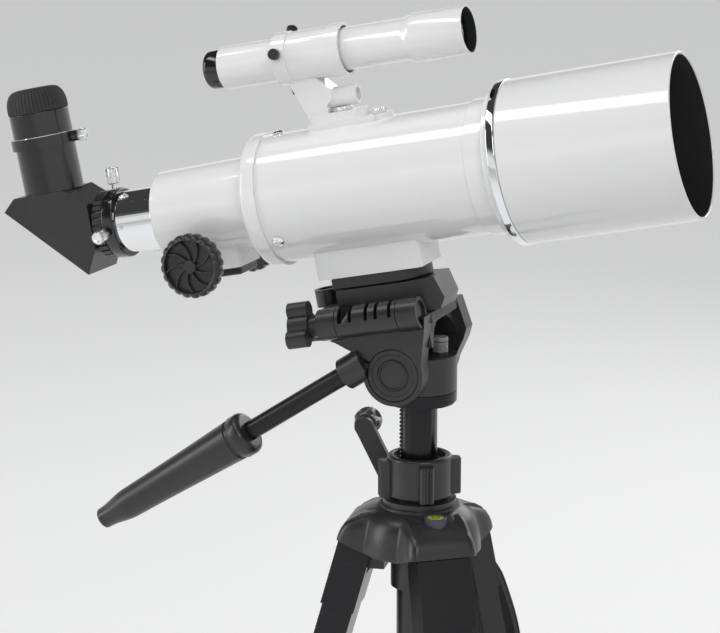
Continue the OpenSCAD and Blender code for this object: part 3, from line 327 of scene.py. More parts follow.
def skin(name, rows, materials, sharp=40, marks=None):
    """A mesh through rings of points, the last joined to the first; marks gives each ring's material."""
    steps = len(rows[0])
    faces = []
    for row in range(len(rows)):
        following = (row + 1) % len(rows)
        faces += [(row * steps + i, row * steps + (i + 1) % steps,
                   following * steps + (i + 1) % steps, following * steps + i) for i in range(steps)]
    mesh = bpy.data.meshes.new(name)
    mesh.from_pydata([point for row in rows for point in row], [], faces)
    for number, face in enumerate(mesh.polygons):
        face.material_index = marks[number // steps] if marks else 0
    seal(mesh, sharp)
    for material in materials:
        mesh.materials.append(material)
    return add_piece(name, mesh)


def joined(name, pieces):
    """Several pieces as one object, each face keeping its material."""
    materials = []
    whole = bmesh.new()
    for piece in pieces:
        places = []
        for material in piece.data.materials:
            if material not in materials:
                materials.append(material)
            places.append(materials.index(material))
        before = len(whole.faces)
        whole.from_mesh(piece.data)
        whole.faces.ensure_lookup_table()
        for face in whole.faces[before:]:
            face.material_index = places[face.material_index]
        bpy.data.objects.remove(piece)
    mesh = bpy.data.meshes.new(name)
    whole.to_mesh(mesh)
    whole.free()
    for material in materials:
        mesh.materials.append(material)
    return add_piece(name, mesh)


MERGE = 0.000001
joints = {joint["name"]: joint for joint in frame["record"]["behaviour"]["joints"]}
satin_black = finish("satin_black_plastic", (0.016, 0.016, 0.017), (0.03, 0.03, 0.032), (0.30, 0.42),
                     patch=30, grain=1100, relief=0.14, dust=0.15, Coat_Weight=0.15, Coat_Roughness=0.3)
HINGE_Z = joints["leg_1_fold"]["pos_m"][2]
leg_azimuths = [atan2(joints[f"leg_{leg}_fold"]["pos_m"][1] - column_axis.y,
                      joints[f"leg_{leg}_fold"]["pos_m"][0] - column_axis.x) for leg in (1, 2, 3)]
# Height above the leg hinges, radius between the lobes, reach of a lobe.
cover_rows = [(0.0318, 0.0232, 0.0232), (0.0318, 0.0248, 0.0248), (0.0312, 0.0262, 0.0270),
              (0.0300, 0.0290, 0.0315), (0.0280, 0.0320, 0.0362), (0.0252, 0.0345, 0.0405),
              (0.0220, 0.0362, 0.0440), (0.0185, 0.0374, 0.0464), (0.0150, 0.0382, 0.0480),
              (0.0120, 0.0386, 0.0488), (0.0110, 0.0387, 0.0489), (0.0108, 0.0384, 0.0484),
              (0.0108, 0.0360, 0.0460), (0.0108, 0.0240, 0.0300), (0.0180, 0.0232, 0.0232)]
COVER_STEPS = 288
LOBE_FLAT, LOBE_FADE = radians(20.5), radians(41)
SADDLE_DROP = 0.0062


def lobe_share(turn):
    """1 in front of a leg, 0 between two legs, and how far the turn is from the leg."""
    away = min(abs((turn - azimuth + pi) % (2 * pi) - pi) for azimuth in leg_azimuths)
    t = min(1, max(0, (away - LOBE_FLAT) / (LOBE_FADE - LOBE_FLAT)))
    return 1 - t * t * (3 - 2 * t), min(away, LOBE_FLAT)


def cover_ring(z, dome_r, lobe_r):
    points = []
    for step in range(COVER_STEPS):
        turn = 2 * pi * step / COVER_STEPS
        share, away = lobe_share(turn)
        flatness = 1 + share * (1 / cos(away) - 1) * min(1, max(0, (lobe_r - 0.036) / 0.008))
        r = (dome_r + (lobe_r - dome_r) * share) * flatness
        drop = SADDLE_DROP * (1 - share) * min(1, max(0, (0.024 - z) / 0.0132))
        points.append((column_axis.x + r * cos(turn), column_axis.y + r * sin(turn), HINGE_Z + z - drop))
    return points


crown_cover = skin("crown_cover", [cover_ring(*row) for row in cover_rows], [satin_black], sharp=50)
crown_body = soften("crown", satin_black, width=0.0005)
mount(joined("crown_casting", [crown_body, crown_cover]), "crown")


# ---- Centre column and its lock ring ----
# A black anodised tube with a moulded rack down one side and the fixed half of the
# panning drum on top. A ring with four grooved wings squeezes the collet round it.
def turned_in(place, name, profile, materials, steps=96, marks=None, sharp=40):
    """A closed turned shape about the z axis of a frame: profile points are (radius, height)."""
    rows = [[place @ Vector((r * cos(2 * pi * i / steps), r * sin(2 * pi * i / steps), z)) for i in range(steps)]
            for r, z in profile]
    return skin(name, rows, materials, sharp, marks)


def arc(centre_r, centre_z, radius, first, last, count=5):
    """Points of a round edge in a profile, angles in degrees from straight out."""
    return [(centre_r + radius * cos(radians(first + (last - first) * i / count)),
             centre_z + radius * sin(radians(first + (last - first) * i / count))) for i in range(count + 1)]


def span(node, place):
    """The lowest and highest corners of a CAD node, measured in a frame."""
    back = place.inverted()
    points = [back @ vertex.co for vertex in frame["nodes"][node].data.vertices]
    return (Vector([min(point[i] for point in points) for i in range(3)]),
            Vector([max(point[i] for point in points) for i in range(3)]))


def new_tree(name, inputs):
    """A geometry tree with named inputs, (name, kind) each, and its input sockets."""
    tree = bpy.data.node_groups.new(name, "GeometryNodeTree")
    tree.is_modifier = True
    for label, kind in inputs:
        tree.interface.new_socket(label, in_out="INPUT", socket_type="NodeSocket" + kind)
    tree.interface.new_socket("Geometry", in_out="OUTPUT", socket_type="NodeSocketGeometry")
    return tree, tree.nodes.new("NodeGroupInput").outputs


def realized(tree, last, material):
    """Ends a tree: what the last node makes becomes real geometry in one material."""
    real = add_node(tree, "GeometryNodeRealizeInstances", [last.outputs[0]])
    painted = add_node(tree, "GeometryNodeSetMaterial", {"Geometry": real.outputs[0], "Material": material})
    tree.links.new(painted.outputs[0], tree.nodes.new("NodeGroupOutput").inputs[0])
    return tree


def build_repeat_tree():
    """Repeats one item: each copy is moved by Step and turned by Turn about the z axis."""
    tree, values = new_tree("repeat_item", [("Item", "Geometry"), ("Count", "Int"), ("Step", "Vector"),
                                            ("Turn", "Float"), ("Finish", "Material")])
    line = add_node(tree, "GeometryNodeMeshLine", {"Count": values["Count"], "Offset": values["Step"]})
    index = add_node(tree, "GeometryNodeInputIndex").outputs[0]
    angle = add_node(tree, "ShaderNodeMath", [index, values["Turn"]], operation="MULTIPLY").outputs[0]
    turn = add_node(tree, "ShaderNodeCombineXYZ", {"Z": angle}).outputs[0]
    copies = add_node(tree, "GeometryNodeInstanceOnPoints",
                      {"Points": line.outputs["Mesh"], "Instance": values["Item"], "Rotation": turn})
    return realized(tree, copies, values["Finish"])


def grown(piece, tree, place, material, sizes):
    """Runs a geometry tree on a piece, makes the result a plain mesh and puts it in place."""
    modifier = piece.modifiers.new(tree.name, "NODES")
    modifier.node_group = tree
    for item in tree.interface.items_tree:
        if item.in_out == "INPUT" and item.name in sizes:
            modifier[item.identifier] = sizes[item.name]
        if item.in_out == "INPUT" and item.name == "Finish":
            modifier[item.identifier] = material
    bake_modifiers(piece)
    piece.data.transform(place)
    if not piece.data.materials:
        piece.data.materials.append(material)
    return piece


def shaped(name, outline, low, high, bevel, along_y=False):
    """A block with a drawn outline, from low to high along z or y, its edges broken."""
    count = len(outline)
    mesh = bpy.data.meshes.new(name)
    mesh.from_pydata([(u, w, v) if along_y else (u, v, w) for w in (low, high) for u, v in outline], [],
                     [tuple(range(count)), tuple(range(count, 2 * count))]
                     + [(i, (i + 1) % count, count + (i + 1) % count, count + i) for i in range(count)])
    seal(mesh, BLOCK_SHARP)
    piece = add_piece(name, mesh)
    break_edges(piece, bevel, 2, BLOCK_SHARP)
    return piece


BLOCK_SHARP = 35
repeat_item = build_repeat_tree()
anodised = finish("black_anodised_tube", (0.016, 0.016, 0.018), (0.028, 0.028, 0.03), (0.24, 0.34), patch=20,
                  grain=1600, relief=0.06, dust=0.1, Metallic=0.6)
dress("centre_column", anodised, width=0.0002, segments=1)

ring_low, ring_high = (Vector(corner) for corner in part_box("column_lock_ring"))
ring_place = Matrix.Translation((column_axis.x, column_axis.y, ring_low.z))
RING_H = ring_high.z - ring_low.z
RING_R, RING_BORE = 0.0202, 0.01605
wall = (turned_in(ring_place, "lock_ring_wall",
                  [(RING_BORE, 0), (RING_R - 0.0012, 0), (RING_R, 0.0012), (RING_R, RING_H - 0.0035)]
                  + arc(RING_R - 0.002, RING_H - 0.002, 0.002, 0, 90)
                  + arc(RING_BORE + 0.001, RING_H - 0.001, 0.001, 90, 180), [satin_black]))
WING_OUT, WING_HALF, WING_EASE, WING_TOP = 0.026, 0.0045, 0.0028, 0.0205
wing_plan = ([(RING_R - 0.002, -WING_HALF), (WING_OUT - WING_EASE, -WING_HALF)]
             + [(WING_OUT - WING_EASE + WING_EASE * sin(radians(a)), -WING_HALF + WING_EASE * (1 - cos(radians(a))))
                for a in (30, 60, 90)]
             + [(WING_OUT, -0.0013), (WING_OUT - 0.0012, -0.0008), (WING_OUT - 0.0012, 0.0008), (WING_OUT, 0.0013)]
             + [(WING_OUT - WING_EASE + WING_EASE * sin(radians(a)), WING_HALF - WING_EASE * (1 - cos(radians(a))))
                for a in (90, 60, 30)]
             + [(WING_OUT - WING_EASE, WING_HALF), (RING_R - 0.002, WING_HALF)])
wing = shaped("lock_ring_wing", wing_plan, 0.0002, WING_TOP + 0.0025, 0.0006)
wing.data.transform(Matrix.Rotation(radians(-60), 4, "Z"))
wings = grown(wing, repeat_item, ring_place, satin_black, {"Count": 4, "Step": (0, 0, 0), "Turn": radians(90)})
mount(joined("lock_ring_moulding", [wall, wings]), "column_lock_ring")


# ---- Crank ----
# A moulded arm on a steel shaft that winds the column up and down through a small
# gear in the crown, with a lobed grip that spins on a pin at its end.
def frame_on(joint, across=(0, 0, 1)):
    """A frame on a joint's axis: z along the axis, y as near as it can be to a direction."""
    z = Vector(joints[joint]["axis"]).normalized()
    x = Vector(across).cross(z).normalized()
    y = z.cross(x)
    turn = Matrix((x, y, z)).transposed().to_4x4()
    return Matrix.Translation(joints[joint]["pos_m"]) @ turn


def build_ribbed_tree():
    """A turned shape with ribs: the profile's points are (radius, 0, height)."""
    tree, values = new_tree("ribbed_turning", [
        ("Profile", "Geometry"), ("Steps", "Int"), ("Ribs", "Int"), ("Depth", "Float"), ("Groove Share", "Float"),
        ("Groove Edge", "Float"), ("From Height", "Float"), ("To Height", "Float"), ("Finish", "Material")])

    def maths(operation, *inputs):
        return add_node(tree, "ShaderNodeMath", inputs, operation=operation).outputs[0]

    rows = add_node(tree, "GeometryNodeAttributeDomainSize", [values["Profile"]]).outputs["Point Count"]
    sheet = add_node(tree, "GeometryNodeMeshGrid",
                     {"Size X": 1.0, "Size Y": 1.0, "Vertices X": maths("ADD", values["Steps"], 1.0),
                      "Vertices Y": rows})
    position = add_node(tree, "GeometryNodeInputPosition").outputs[0]
    spot = add_node(tree, "ShaderNodeSeparateXYZ", [position]).outputs
    around = maths("ADD", spot["X"], 0.5)
    row = maths("ROUND", maths("MULTIPLY", maths("ADD", spot["Y"], 0.5), maths("SUBTRACT", rows, 1.0)))
    sample = add_node(tree, "GeometryNodeSampleIndex",
                      {"Geometry": values["Profile"], "Index": row}, data_type="FLOAT_VECTOR", domain="POINT")
    tree.links.new(position, sample.inputs["Value"])
    drawn = add_node(tree, "ShaderNodeSeparateXYZ", [sample.outputs[0]]).outputs
    phase = maths("FRACT", maths("MULTIPLY", around, values["Ribs"]))
    off_land = maths("MULTIPLY", maths("ABSOLUTE", maths("SUBTRACT", phase, 0.5)), 2.0)
    edge = values["Groove Edge"]
    start = maths("SUBTRACT", 1.0, values["Groove Share"])
    groove = add_node(tree, "ShaderNodeMapRange",
                      {"Value": off_land, "From Min": maths("SUBTRACT", start, edge),
                       "From Max": maths("ADD", start, edge), "To Min": 0.0, "To Max": 1.0},
                      interpolation_type="SMOOTHSTEP").outputs["Result"]
    ribbed = maths("MULTIPLY", maths("GREATER_THAN", drawn["Z"], values["From Height"]),
                   maths("LESS_THAN", drawn["Z"], values["To Height"]))
    radius = maths("SUBTRACT", drawn["X"], maths("MULTIPLY", maths("MULTIPLY", groove, ribbed), values["Depth"]))
    turn = maths("MULTIPLY", around, 2 * pi)
    spread = add_node(tree, "ShaderNodeCombineXYZ",
                      {"X": maths("MULTIPLY", radius, maths("COSINE", turn)),
                       "Y": maths("MULTIPLY", radius, maths("SINE", turn)), "Z": drawn["Z"]}).outputs[0]
    wrapped = add_node(tree, "GeometryNodeSetPosition", {"Geometry": sheet.outputs["Mesh"], "Position": spread})
    sealed = add_node(tree, "GeometryNodeMergeByDistance", {"Geometry": wrapped.outputs[0], "Distance": 2 * MERGE})
    smooth = add_node(tree, "GeometryNodeSetShadeSmooth", {"Geometry": sealed.outputs[0]})
    return realized(tree, smooth, values["Finish"])


ribbed_turning = build_ribbed_tree()


def ribbed(name, profile, place, material, ribs, depth, low, high, share=0.4, edge=0.2, per_rib=8):
    """A knurled or fluted piece, closed, from a profile of (radius, height) points."""
    mesh = bpy.data.meshes.new(name)
    mesh.from_pydata([(r, 0, z) for r, z in profile], [(i, i + 1) for i in range(len(profile) - 1)], [])
    piece = grown(add_piece(name, mesh), ribbed_turning, place, material,
                  {"Steps": ribs * per_rib, "Ribs": ribs, "Depth": depth, "Groove Share": share, "Groove Edge": edge,
                   "From Height": low, "To Height": high})
    seal(piece.data, 40)
    return piece


dress("crank_arm", satin_black, width=0.0008, segments=3)
dark_grip = finish("grey_grip_plastic", (0.10, 0.10, 0.105), (0.14, 0.14, 0.145), (0.32, 0.42), patch=30,
                   grain=1200, relief=0.1, dust=0.15, Coat_Weight=0.3, Coat_Roughness=0.2)
grip_frame = frame_on("crank_knob_spin")
grip_low, grip_high = span("crank_knob", grip_frame)
GRIP_BORE, GRIP_NECK, GRIP_LOBES = 0.0026, 0.0074, 0.0092
grip_profile = ([(GRIP_BORE, grip_low.z), (GRIP_NECK - 0.0006, grip_low.z), (GRIP_NECK, grip_low.z + 0.0006),
                 (GRIP_NECK, grip_low.z + 0.0028), (GRIP_LOBES - 0.0005, grip_low.z + 0.0034),
                 (GRIP_LOBES, grip_low.z + 0.0045), (GRIP_LOBES, grip_high.z - 0.002)]
                + arc(GRIP_LOBES - 0.0018, grip_high.z - 0.0018, 0.0018, 0, 90)
                + [(0.0045, grip_high.z), (0.004, grip_high.z - 0.0008), (GRIP_BORE, grip_high.z - 0.0008),
                   (GRIP_BORE, grip_low.z)])
mount(ribbed("crank_grip", grip_profile, grip_frame, dark_grip, ribs=5, depth=0.0024, low=grip_low.z + 0.003,
             high=grip_high.z - 0.0009, share=0.45, edge=0.45, per_rib=24), "crank_knob")


# ---- Legs, braces and carrying handle ----
# Black anodised channels under moulded caps, sliding lower sections, rubber feet and
# flap locks. Flat braces fold against a hub on the guide tube, and a bowed rubbery
# band with three grooves along it is fixed to the outside of one leg.
black_rubber = finish("black_rubber", (0.014, 0.014, 0.015), (0.032, 0.032, 0.034), (0.5, 0.7), patch=40,
                      grain=1500, relief=0.25, dust=0.3)
for leg in (1, 2, 3):
    dress(f"leg_upper_{leg}", anodised, width=0.0008, segments=3)
    dress(f"leg_lower_{leg}", anodised, width=0.0008)
    dress(f"leg_foot_{leg}", black_rubber, width=0.0008)
    dress(f"leg_lock_{leg}", satin_black, width=0.0006)
    dress(f"brace_arm_{leg}", anodised, width=0.0004)
dress("brace_hub", satin_black, width=0.0006)
# Frame of the band: z up along its leg, x outwards.
band_leg = body_of_node["carry_handle"]
leg_up = Vector(joints[band_leg + "_extend"]["axis"]) * (-1 if joints[band_leg + "_extend"]["axis"][2] < 0 else 1)
leg_side = Vector(joints[band_leg + "_fold"]["axis"])
leg_out = leg_side.cross(leg_up).normalized()
if leg_out.z < 0:
    leg_side, leg_out = -leg_side, -leg_out
band_place = (Matrix.Translation(joints[band_leg + "_fold"]["pos_m"])
              @ Matrix((leg_out, leg_up.cross(leg_out), leg_up)).transposed().to_4x4())
band_low, band_high = span("carry_handle", band_place)
reach = {}
for vertex in frame["nodes"]["carry_handle"].data.vertices:
    point = band_place.inverted() @ vertex.co
    height = round(point.z, 4)
    reach[height] = max(reach.get(height, point.x), point.x)
bow = [(reach[height], height) for height in sorted(reach)][1:-1]
RIDGES, RIDGE_W, RIDGE_H, RIDGE_SINK = 4, 0.0026, 0.0007, 0.0004
ridge = shaped("band_ridge", [(x - RIDGE_SINK, z) for x, z in bow] + [(x + RIDGE_H, z) for x, z in bow[::-1]],
               -RIDGE_W / 2, RIDGE_W / 2, 0.00025, along_y=True)
first_ridge = band_low.y + RIDGE_W / 2 + 0.0006
ridge_gap = (band_high.y - band_low.y - RIDGE_W - 0.0012) / (RIDGES - 1)
ridges = grown(ridge, repeat_item, band_place @ Matrix.Translation((0, first_ridge, 0)), black_rubber,
               {"Count": RIDGES, "Step": (0, ridge_gap, 0), "Turn": 0.0})
band = soften("carry_handle", black_rubber, width=0.0009, segments=3)
mount(joined("carry_handle_grooved", [band, ridges]), "carry_handle")


# ---- Bubble level ----
# A small round vial of yellow-green liquid in a dark violet-grey bezel, glued in its
# seat on the slope of the crown, with a ring printed on its window.
level_low, level_high = (Vector(corner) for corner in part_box("bubble_level"))
level_middle = (level_low + level_high) / 2
level_place = Matrix.Translation((level_middle.x, level_middle.y, level_high.z))
BEZEL_R, WINDOW_R = 0.0069, 0.0054
bezel_grey = finish("grey_bezel", (0.05, 0.045, 0.075), (0.09, 0.08, 0.12), (0.25, 0.35), patch=60, dust=0.1)
vial = finish("level_vial", (0.30, 0.42, 0.02), (0.55, 0.68, 0.05), (0.06, 0.1), patch=420, grain=900, relief=0.0,
              dust=0.05, Coat_Weight=0.6, Coat_Roughness=0.03)
print_black = finish("print_black", (0.03, 0.04, 0.01), (0.04, 0.05, 0.01), (0.2, 0.3), relief=0.0)
bezel = turned_in(level_place, "level_bezel",
                  [(0, level_low.z - level_high.z), (BEZEL_R, level_low.z - level_high.z), (BEZEL_R, -0.0009)]
                  + arc(BEZEL_R - 0.0005, -0.0006, 0.0005, 0, 90) + [(WINDOW_R, -0.0001), (WINDOW_R, -0.0012),
                                                                   (0, -0.0012)], [bezel_grey], 64)
window = turned_in(level_place, "level_window",
                   [(0, -0.0013), (WINDOW_R - 0.0001, -0.0013), (WINDOW_R - 0.0001, -0.0006),
                    (WINDOW_R * 0.8, -0.0003), (WINDOW_R * 0.4, -0.0001), (0, 0)], [vial], 64)
mark = turned_in(level_place, "level_mark", [(0.0021, -0.0003), (0.0026, -0.0003), (0.0026, -0.00005),
                                            (0.0021, 0.00005)], [print_black], 48)
mount(joined("bubble_level_vial", [bezel, window, mark]), "bubble_level")


# ---- Tilting head: drum, frame and axle caps ----
# Glass-filled nylon mouldings round a steel axle. The drum pans on the column, and a
# grooved knob on top locks it. The frame's cheeks tilt between the axle's round caps.
drum_body = soften("pan_drum", satin_black, width=0.0006, segments=3)
LOCK_R, LOCK_GROOVE, LOCK_H, LOCK_RINGS = 0.00478, 0.00030, 0.0092, 5
lock_place = Matrix.Translation((column_axis.x + 0.013, column_axis.y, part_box("pan_drum")[1][2] - LOCK_H + 0.0001))
lock_profile = [(0, 0), (LOCK_R, 0)]
for ring in range(1, LOCK_RINGS):
    foot = ring * LOCK_H * 0.62 / LOCK_RINGS
    lock_profile += [(LOCK_R, foot - 0.00035), (LOCK_R - LOCK_GROOVE, foot - 0.0001),
                     (LOCK_R - LOCK_GROOVE, foot + 0.0001), (LOCK_R, foot + 0.00035)]
lock_profile += [(LOCK_R, LOCK_H * 0.66), (LOCK_R - 0.0006, LOCK_H * 0.68), (LOCK_R - 0.0006, LOCK_H * 0.72),
                 (LOCK_R, LOCK_H * 0.74)] + arc(LOCK_R - 0.0005, LOCK_H - 0.0005, 0.0005, 0, 90, 3) + [(0, LOCK_H)]
lock_grey = finish("lock_knob_grey", (0.20, 0.20, 0.205), (0.26, 0.26, 0.265), (0.3, 0.4), patch=30, relief=0.1,
                   dust=0.1, Coat_Weight=0.2)
lock_knob = turned_in(lock_place, "drum_lock_knob", lock_profile, [lock_grey], 48)
mount(joined("pan_drum_with_knob", [drum_body, lock_knob]), "pan_drum")
dress("tilt_frame", satin_black, width=0.0008, segments=3)

tilt_place = frame_on("tilt_turn")
cap_low, cap_high = span("tilt_caps", tilt_place)
CAP_R, CAP_SINK, RING_OUTER, RING_INNER, STEP = 0.01635, 0.0021, 0.0094, 0.0080, 0.0005


def cap_profile(outer_z, inward):
    """One axle cap in section: a rounded dish with a raised ring and a sunken middle."""
    face = outer_z + inward * 0.0010
    return [(0, face + inward * CAP_SINK), (CAP_R, face + inward * CAP_SINK), (CAP_R, face + inward * 0.0007),
            (CAP_R - 0.0007, face), (CAP_R - 0.0030, face), (CAP_R - 0.0034, face + inward * STEP),
            (RING_OUTER + 0.0006, face + inward * STEP), (RING_OUTER, outer_z + inward * STEP),
            (RING_OUTER - STEP, outer_z), (RING_INNER + STEP / 2, outer_z), (RING_INNER, outer_z + inward * STEP),
            (RING_INNER - 0.0002, face), (0.0030, face), (0, face - inward * 0.0002)]


steel = finish("bare_steel", (0.55, 0.55, 0.56), (0.45, 0.45, 0.46), (0.2, 0.3), patch=30, grain=1400, relief=0.05,
               dust=0.1, Metallic=1.0)
AXLE_R = 0.00495
caps = [turned_in(tilt_place, "axle", [(0, cap_low.z + 0.0015), (AXLE_R, cap_low.z + 0.0015),
                                       (AXLE_R, cap_high.z - 0.0015), (0, cap_high.z - 0.0015)], [steel], 48),
        turned_in(tilt_place, "cap_near", cap_profile(cap_high.z, -1), [satin_black]),
        turned_in(tilt_place, "cap_far", cap_profile(cap_low.z, 1), [satin_black])]
mount(joined("tilt_axle_caps", caps), "tilt_caps")


# ---- Pan handle ----
# A black anodised tube in the frame's socket, with a moulded grip that flares to a
# rounded end behind a thin groove.
dress("handle_rod", anodised, width=0.0004)
handle_place = frame_on("handle_twist")
if (handle_place.inverted() @ sum((Vector(c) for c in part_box("handle_grip")), Vector()) / 2).z < 0:
    handle_place = handle_place @ Matrix.Rotation(pi, 4, "X")
hold_low, hold_high = span("handle_grip", handle_place)
ROD_R, SHOULDER_R, END_R, FLANGE_R = 0.006, 0.0099, 0.0132, 0.0139
FLARE, HOLD_EASE, SWELL = 0.024, 0.004, 1.15
GRIP_END = hold_high.z - 0.0106
hold_profile = [(ROD_R + 0.00005, GRIP_END - 0.03), (ROD_R + 0.00005, hold_low.z), (ROD_R + 0.0006, hold_low.z)]
hold_profile += [(ROD_R + 0.0008 + (SHOULDER_R - ROD_R - 0.0008) * (1 - cos(pi * t / 12)) / 2,
                  hold_low.z + 0.0004 + FLARE * t / 12) for t in range(13)]
flare_end = hold_low.z + FLARE + 0.0004
hold_profile += [(SHOULDER_R + (END_R - SHOULDER_R) * (t / 8) ** SWELL,
                  flare_end + (GRIP_END - 0.002 - flare_end) * t / 8) for t in range(1, 9)]
hold_profile += ([(END_R - 0.0007, GRIP_END - 0.0014), (END_R - 0.0007, GRIP_END + 0.0006),
                  (FLANGE_R - 0.0004, GRIP_END + 0.001), (FLANGE_R, GRIP_END + 0.0016)]
                 + arc(FLANGE_R - HOLD_EASE, hold_high.z - HOLD_EASE, HOLD_EASE, 0, 90, 8)
                 + [(0.004, hold_high.z), (0.0036, hold_high.z - 0.0006), (0, hold_high.z - 0.0008),
                    (0, GRIP_END - 0.03)])
mount(turned_in(handle_place, "handle_grip_moulding", hold_profile, [satin_black]), "handle_grip")


# ---- Platform, hinge barrel and clamp knob ----
# The platform tips over on the long barrel at its near side, made of knuckles of the
# frame and of the platform with slots across them, and a three-lobed knob screwed
# along the barrel clamps it. A looped thumb lever frees the plate.
dress("release_lever", satin_black, width=0.0006, segments=3)
dress("platform", satin_black, width=0.0007, segments=3)
dress("flip_knob", satin_black, width=0.0012, segments=4)


# ---- Quick plate ----
# A moulded plate that stays on the telescope when the head lets it go. A slotted steel
# screw holds it to the mounting foot.
dress("quick_plate", satin_black, width=0.0014, segments=4)
dress("plate_screw", steel, width=0.0003)


# ---- Main tube, mounting foot and rear housing ----
# Rolled aluminium in gloss white enamel, with a cast foot below and the cast focuser
# housing pushed in behind, held by three cross-headed screws.
enamel = finish("white_enamel", (0.86, 0.86, 0.855), (0.82, 0.82, 0.815), (0.10, 0.16), patch=14, grain=1400,
                relief=0.015, dust=0.03, Coat_Weight=0.6, Coat_Roughness=0.05)
chrome = finish("polished_chrome", (0.82, 0.83, 0.85), (0.78, 0.79, 0.81), (0.03, 0.07), patch=22, grain=2200,
                relief=0.01, dust=0.04, Metallic=1.0)
dress("main_tube", enamel, width=0.0004)
dress("mounting_foot", enamel, width=0.0012, segments=3)
dress("focuser_housing", enamel, width=0.0006, segments=3)
dress("tube_screws", chrome, width=0.0003)
dress("pinion_cover", satin_black, width=0.0012, segments=3)


# ---- Objective cell, lens, trim ring and dew shield ----
# The cast cell carries the lens. A rolled white sleeve, flocked black inside, is pushed
# on it to keep stray light off, and a polished ring hides the joint.
tube_forward = -Vector(joints["focus_travel"]["axis"])
tube_up = Vector(joints["plate_lift"]["axis"])
AXIS_POINT_STATION = -0.220
axis_zero = Vector(joints["diagonal_turn"]["pos_m"]) - tube_forward * AXIS_POINT_STATION
# Optical frame: z forward along the optical axis, x up. Heights in it are stations.
optical = Matrix.Translation(axis_zero) @ Matrix(
    (tube_up, tube_forward.cross(tube_up), tube_forward)).transposed().to_4x4()
dress("objective_cell", enamel, width=0.0008, segments=3)
flock = finish("black_flock", (0.010, 0.010, 0.011), (0.02, 0.02, 0.021), (0.75, 0.9), patch=60, grain=1800,
               relief=0.5, dust=0.1)
SHIELD_WALL, LIP_R, LIP_PLY = 0.002, 0.0009, 0.0002
shield_low, shield_high = span("dew_shield", optical)
shield_r, shield_inner = shield_high.x, shield_high.x - SHIELD_WALL
shield_profile = ([(shield_inner, shield_low.z), (shield_r - 0.0004, shield_low.z), (shield_r, shield_low.z + 0.0004)]
                  + arc(shield_r - LIP_R, shield_high.z - LIP_R, LIP_R, 0, 90, 6)
                  + arc(shield_r - LIP_R - LIP_PLY, shield_high.z - LIP_R, LIP_R, 90, 180, 6)
                  + [(shield_inner, shield_high.z - 0.0016)])
shield_marks = [0] * (len(shield_profile) - 2) + [1, 1]
mount(turned_in(optical, "dew_shield_rolled", shield_profile, [enamel, flock], 160, shield_marks), "dew_shield")

trim_low, trim_high = span("dew_trim_ring", optical)
TRIM_SEAT = 0.0466
mount(turned_in(optical, "trim_ring_polished",
                [(TRIM_SEAT, trim_low.z + 0.0001)] + arc(trim_high.x - 0.0008, trim_low.z + 0.0009, 0.0008, -90, 0)
                + arc(trim_high.x - 0.0008, trim_high.z - 0.0009, 0.0008, 0, 90)
                + [(TRIM_SEAT, trim_high.z - 0.0001)], [chrome], 160), "dew_trim_ring")


def paint(material, *nodes):
    """Gives CAD nodes a finish as they are."""
    for name in nodes:
        mesh = frame["nodes"][name].data
        mesh.materials.clear()
        mesh.materials.append(material)


coated_glass = bpy.data.materials.new("coated_glass")
coated_glass.use_nodes = True
glass_tree = coated_glass.node_tree
glass_shader = glass_tree.nodes["Principled BSDF"]
film = noise_in(glass_tree, add_node(glass_tree, "ShaderNodeTexCoord").outputs["Object"], 40.0)
glass_tree.links.new(range_in(glass_tree, film, 0.0, 0.03), glass_shader.inputs["Roughness"])
for label, value in (("Base Color", (0.8, 0.92, 0.86, 1)), ("IOR", 1.5), ("Transmission Weight", 1.0),
                     ("Coat Weight", 0.7), ("Coat Tint", (0.35, 0.65, 0.9, 1))):
    glass_shader.inputs[label].default_value = value
paint(coated_glass, "objective_lens", "eyepiece_lens", "finder_lens")


# ---- Drawtube, pinion and focus knobs ----
# A chromed brass tube with a rack below it, moved by a pinion on a steel shaft with a
# fluted black knob on each side, whose faces have curved spokes.
dress("drawtube", chrome, width=0.0003)
dress("pinion_shaft", steel, width=0.0003)
knob_place = frame_on("focus_knob_turn")
knobs_low, knobs_high = span("focus_knobs", knob_place)
KNOB_R, KNOB_H, KNOB_SINK, HUB_R, RIM_WALL, KNOB_SPOKES = 0.020, 0.011, 0.0034, 0.0046, 0.0026, 9
SPOKE_BEND, SPOKE_HALF = 0.0135, 0.00055


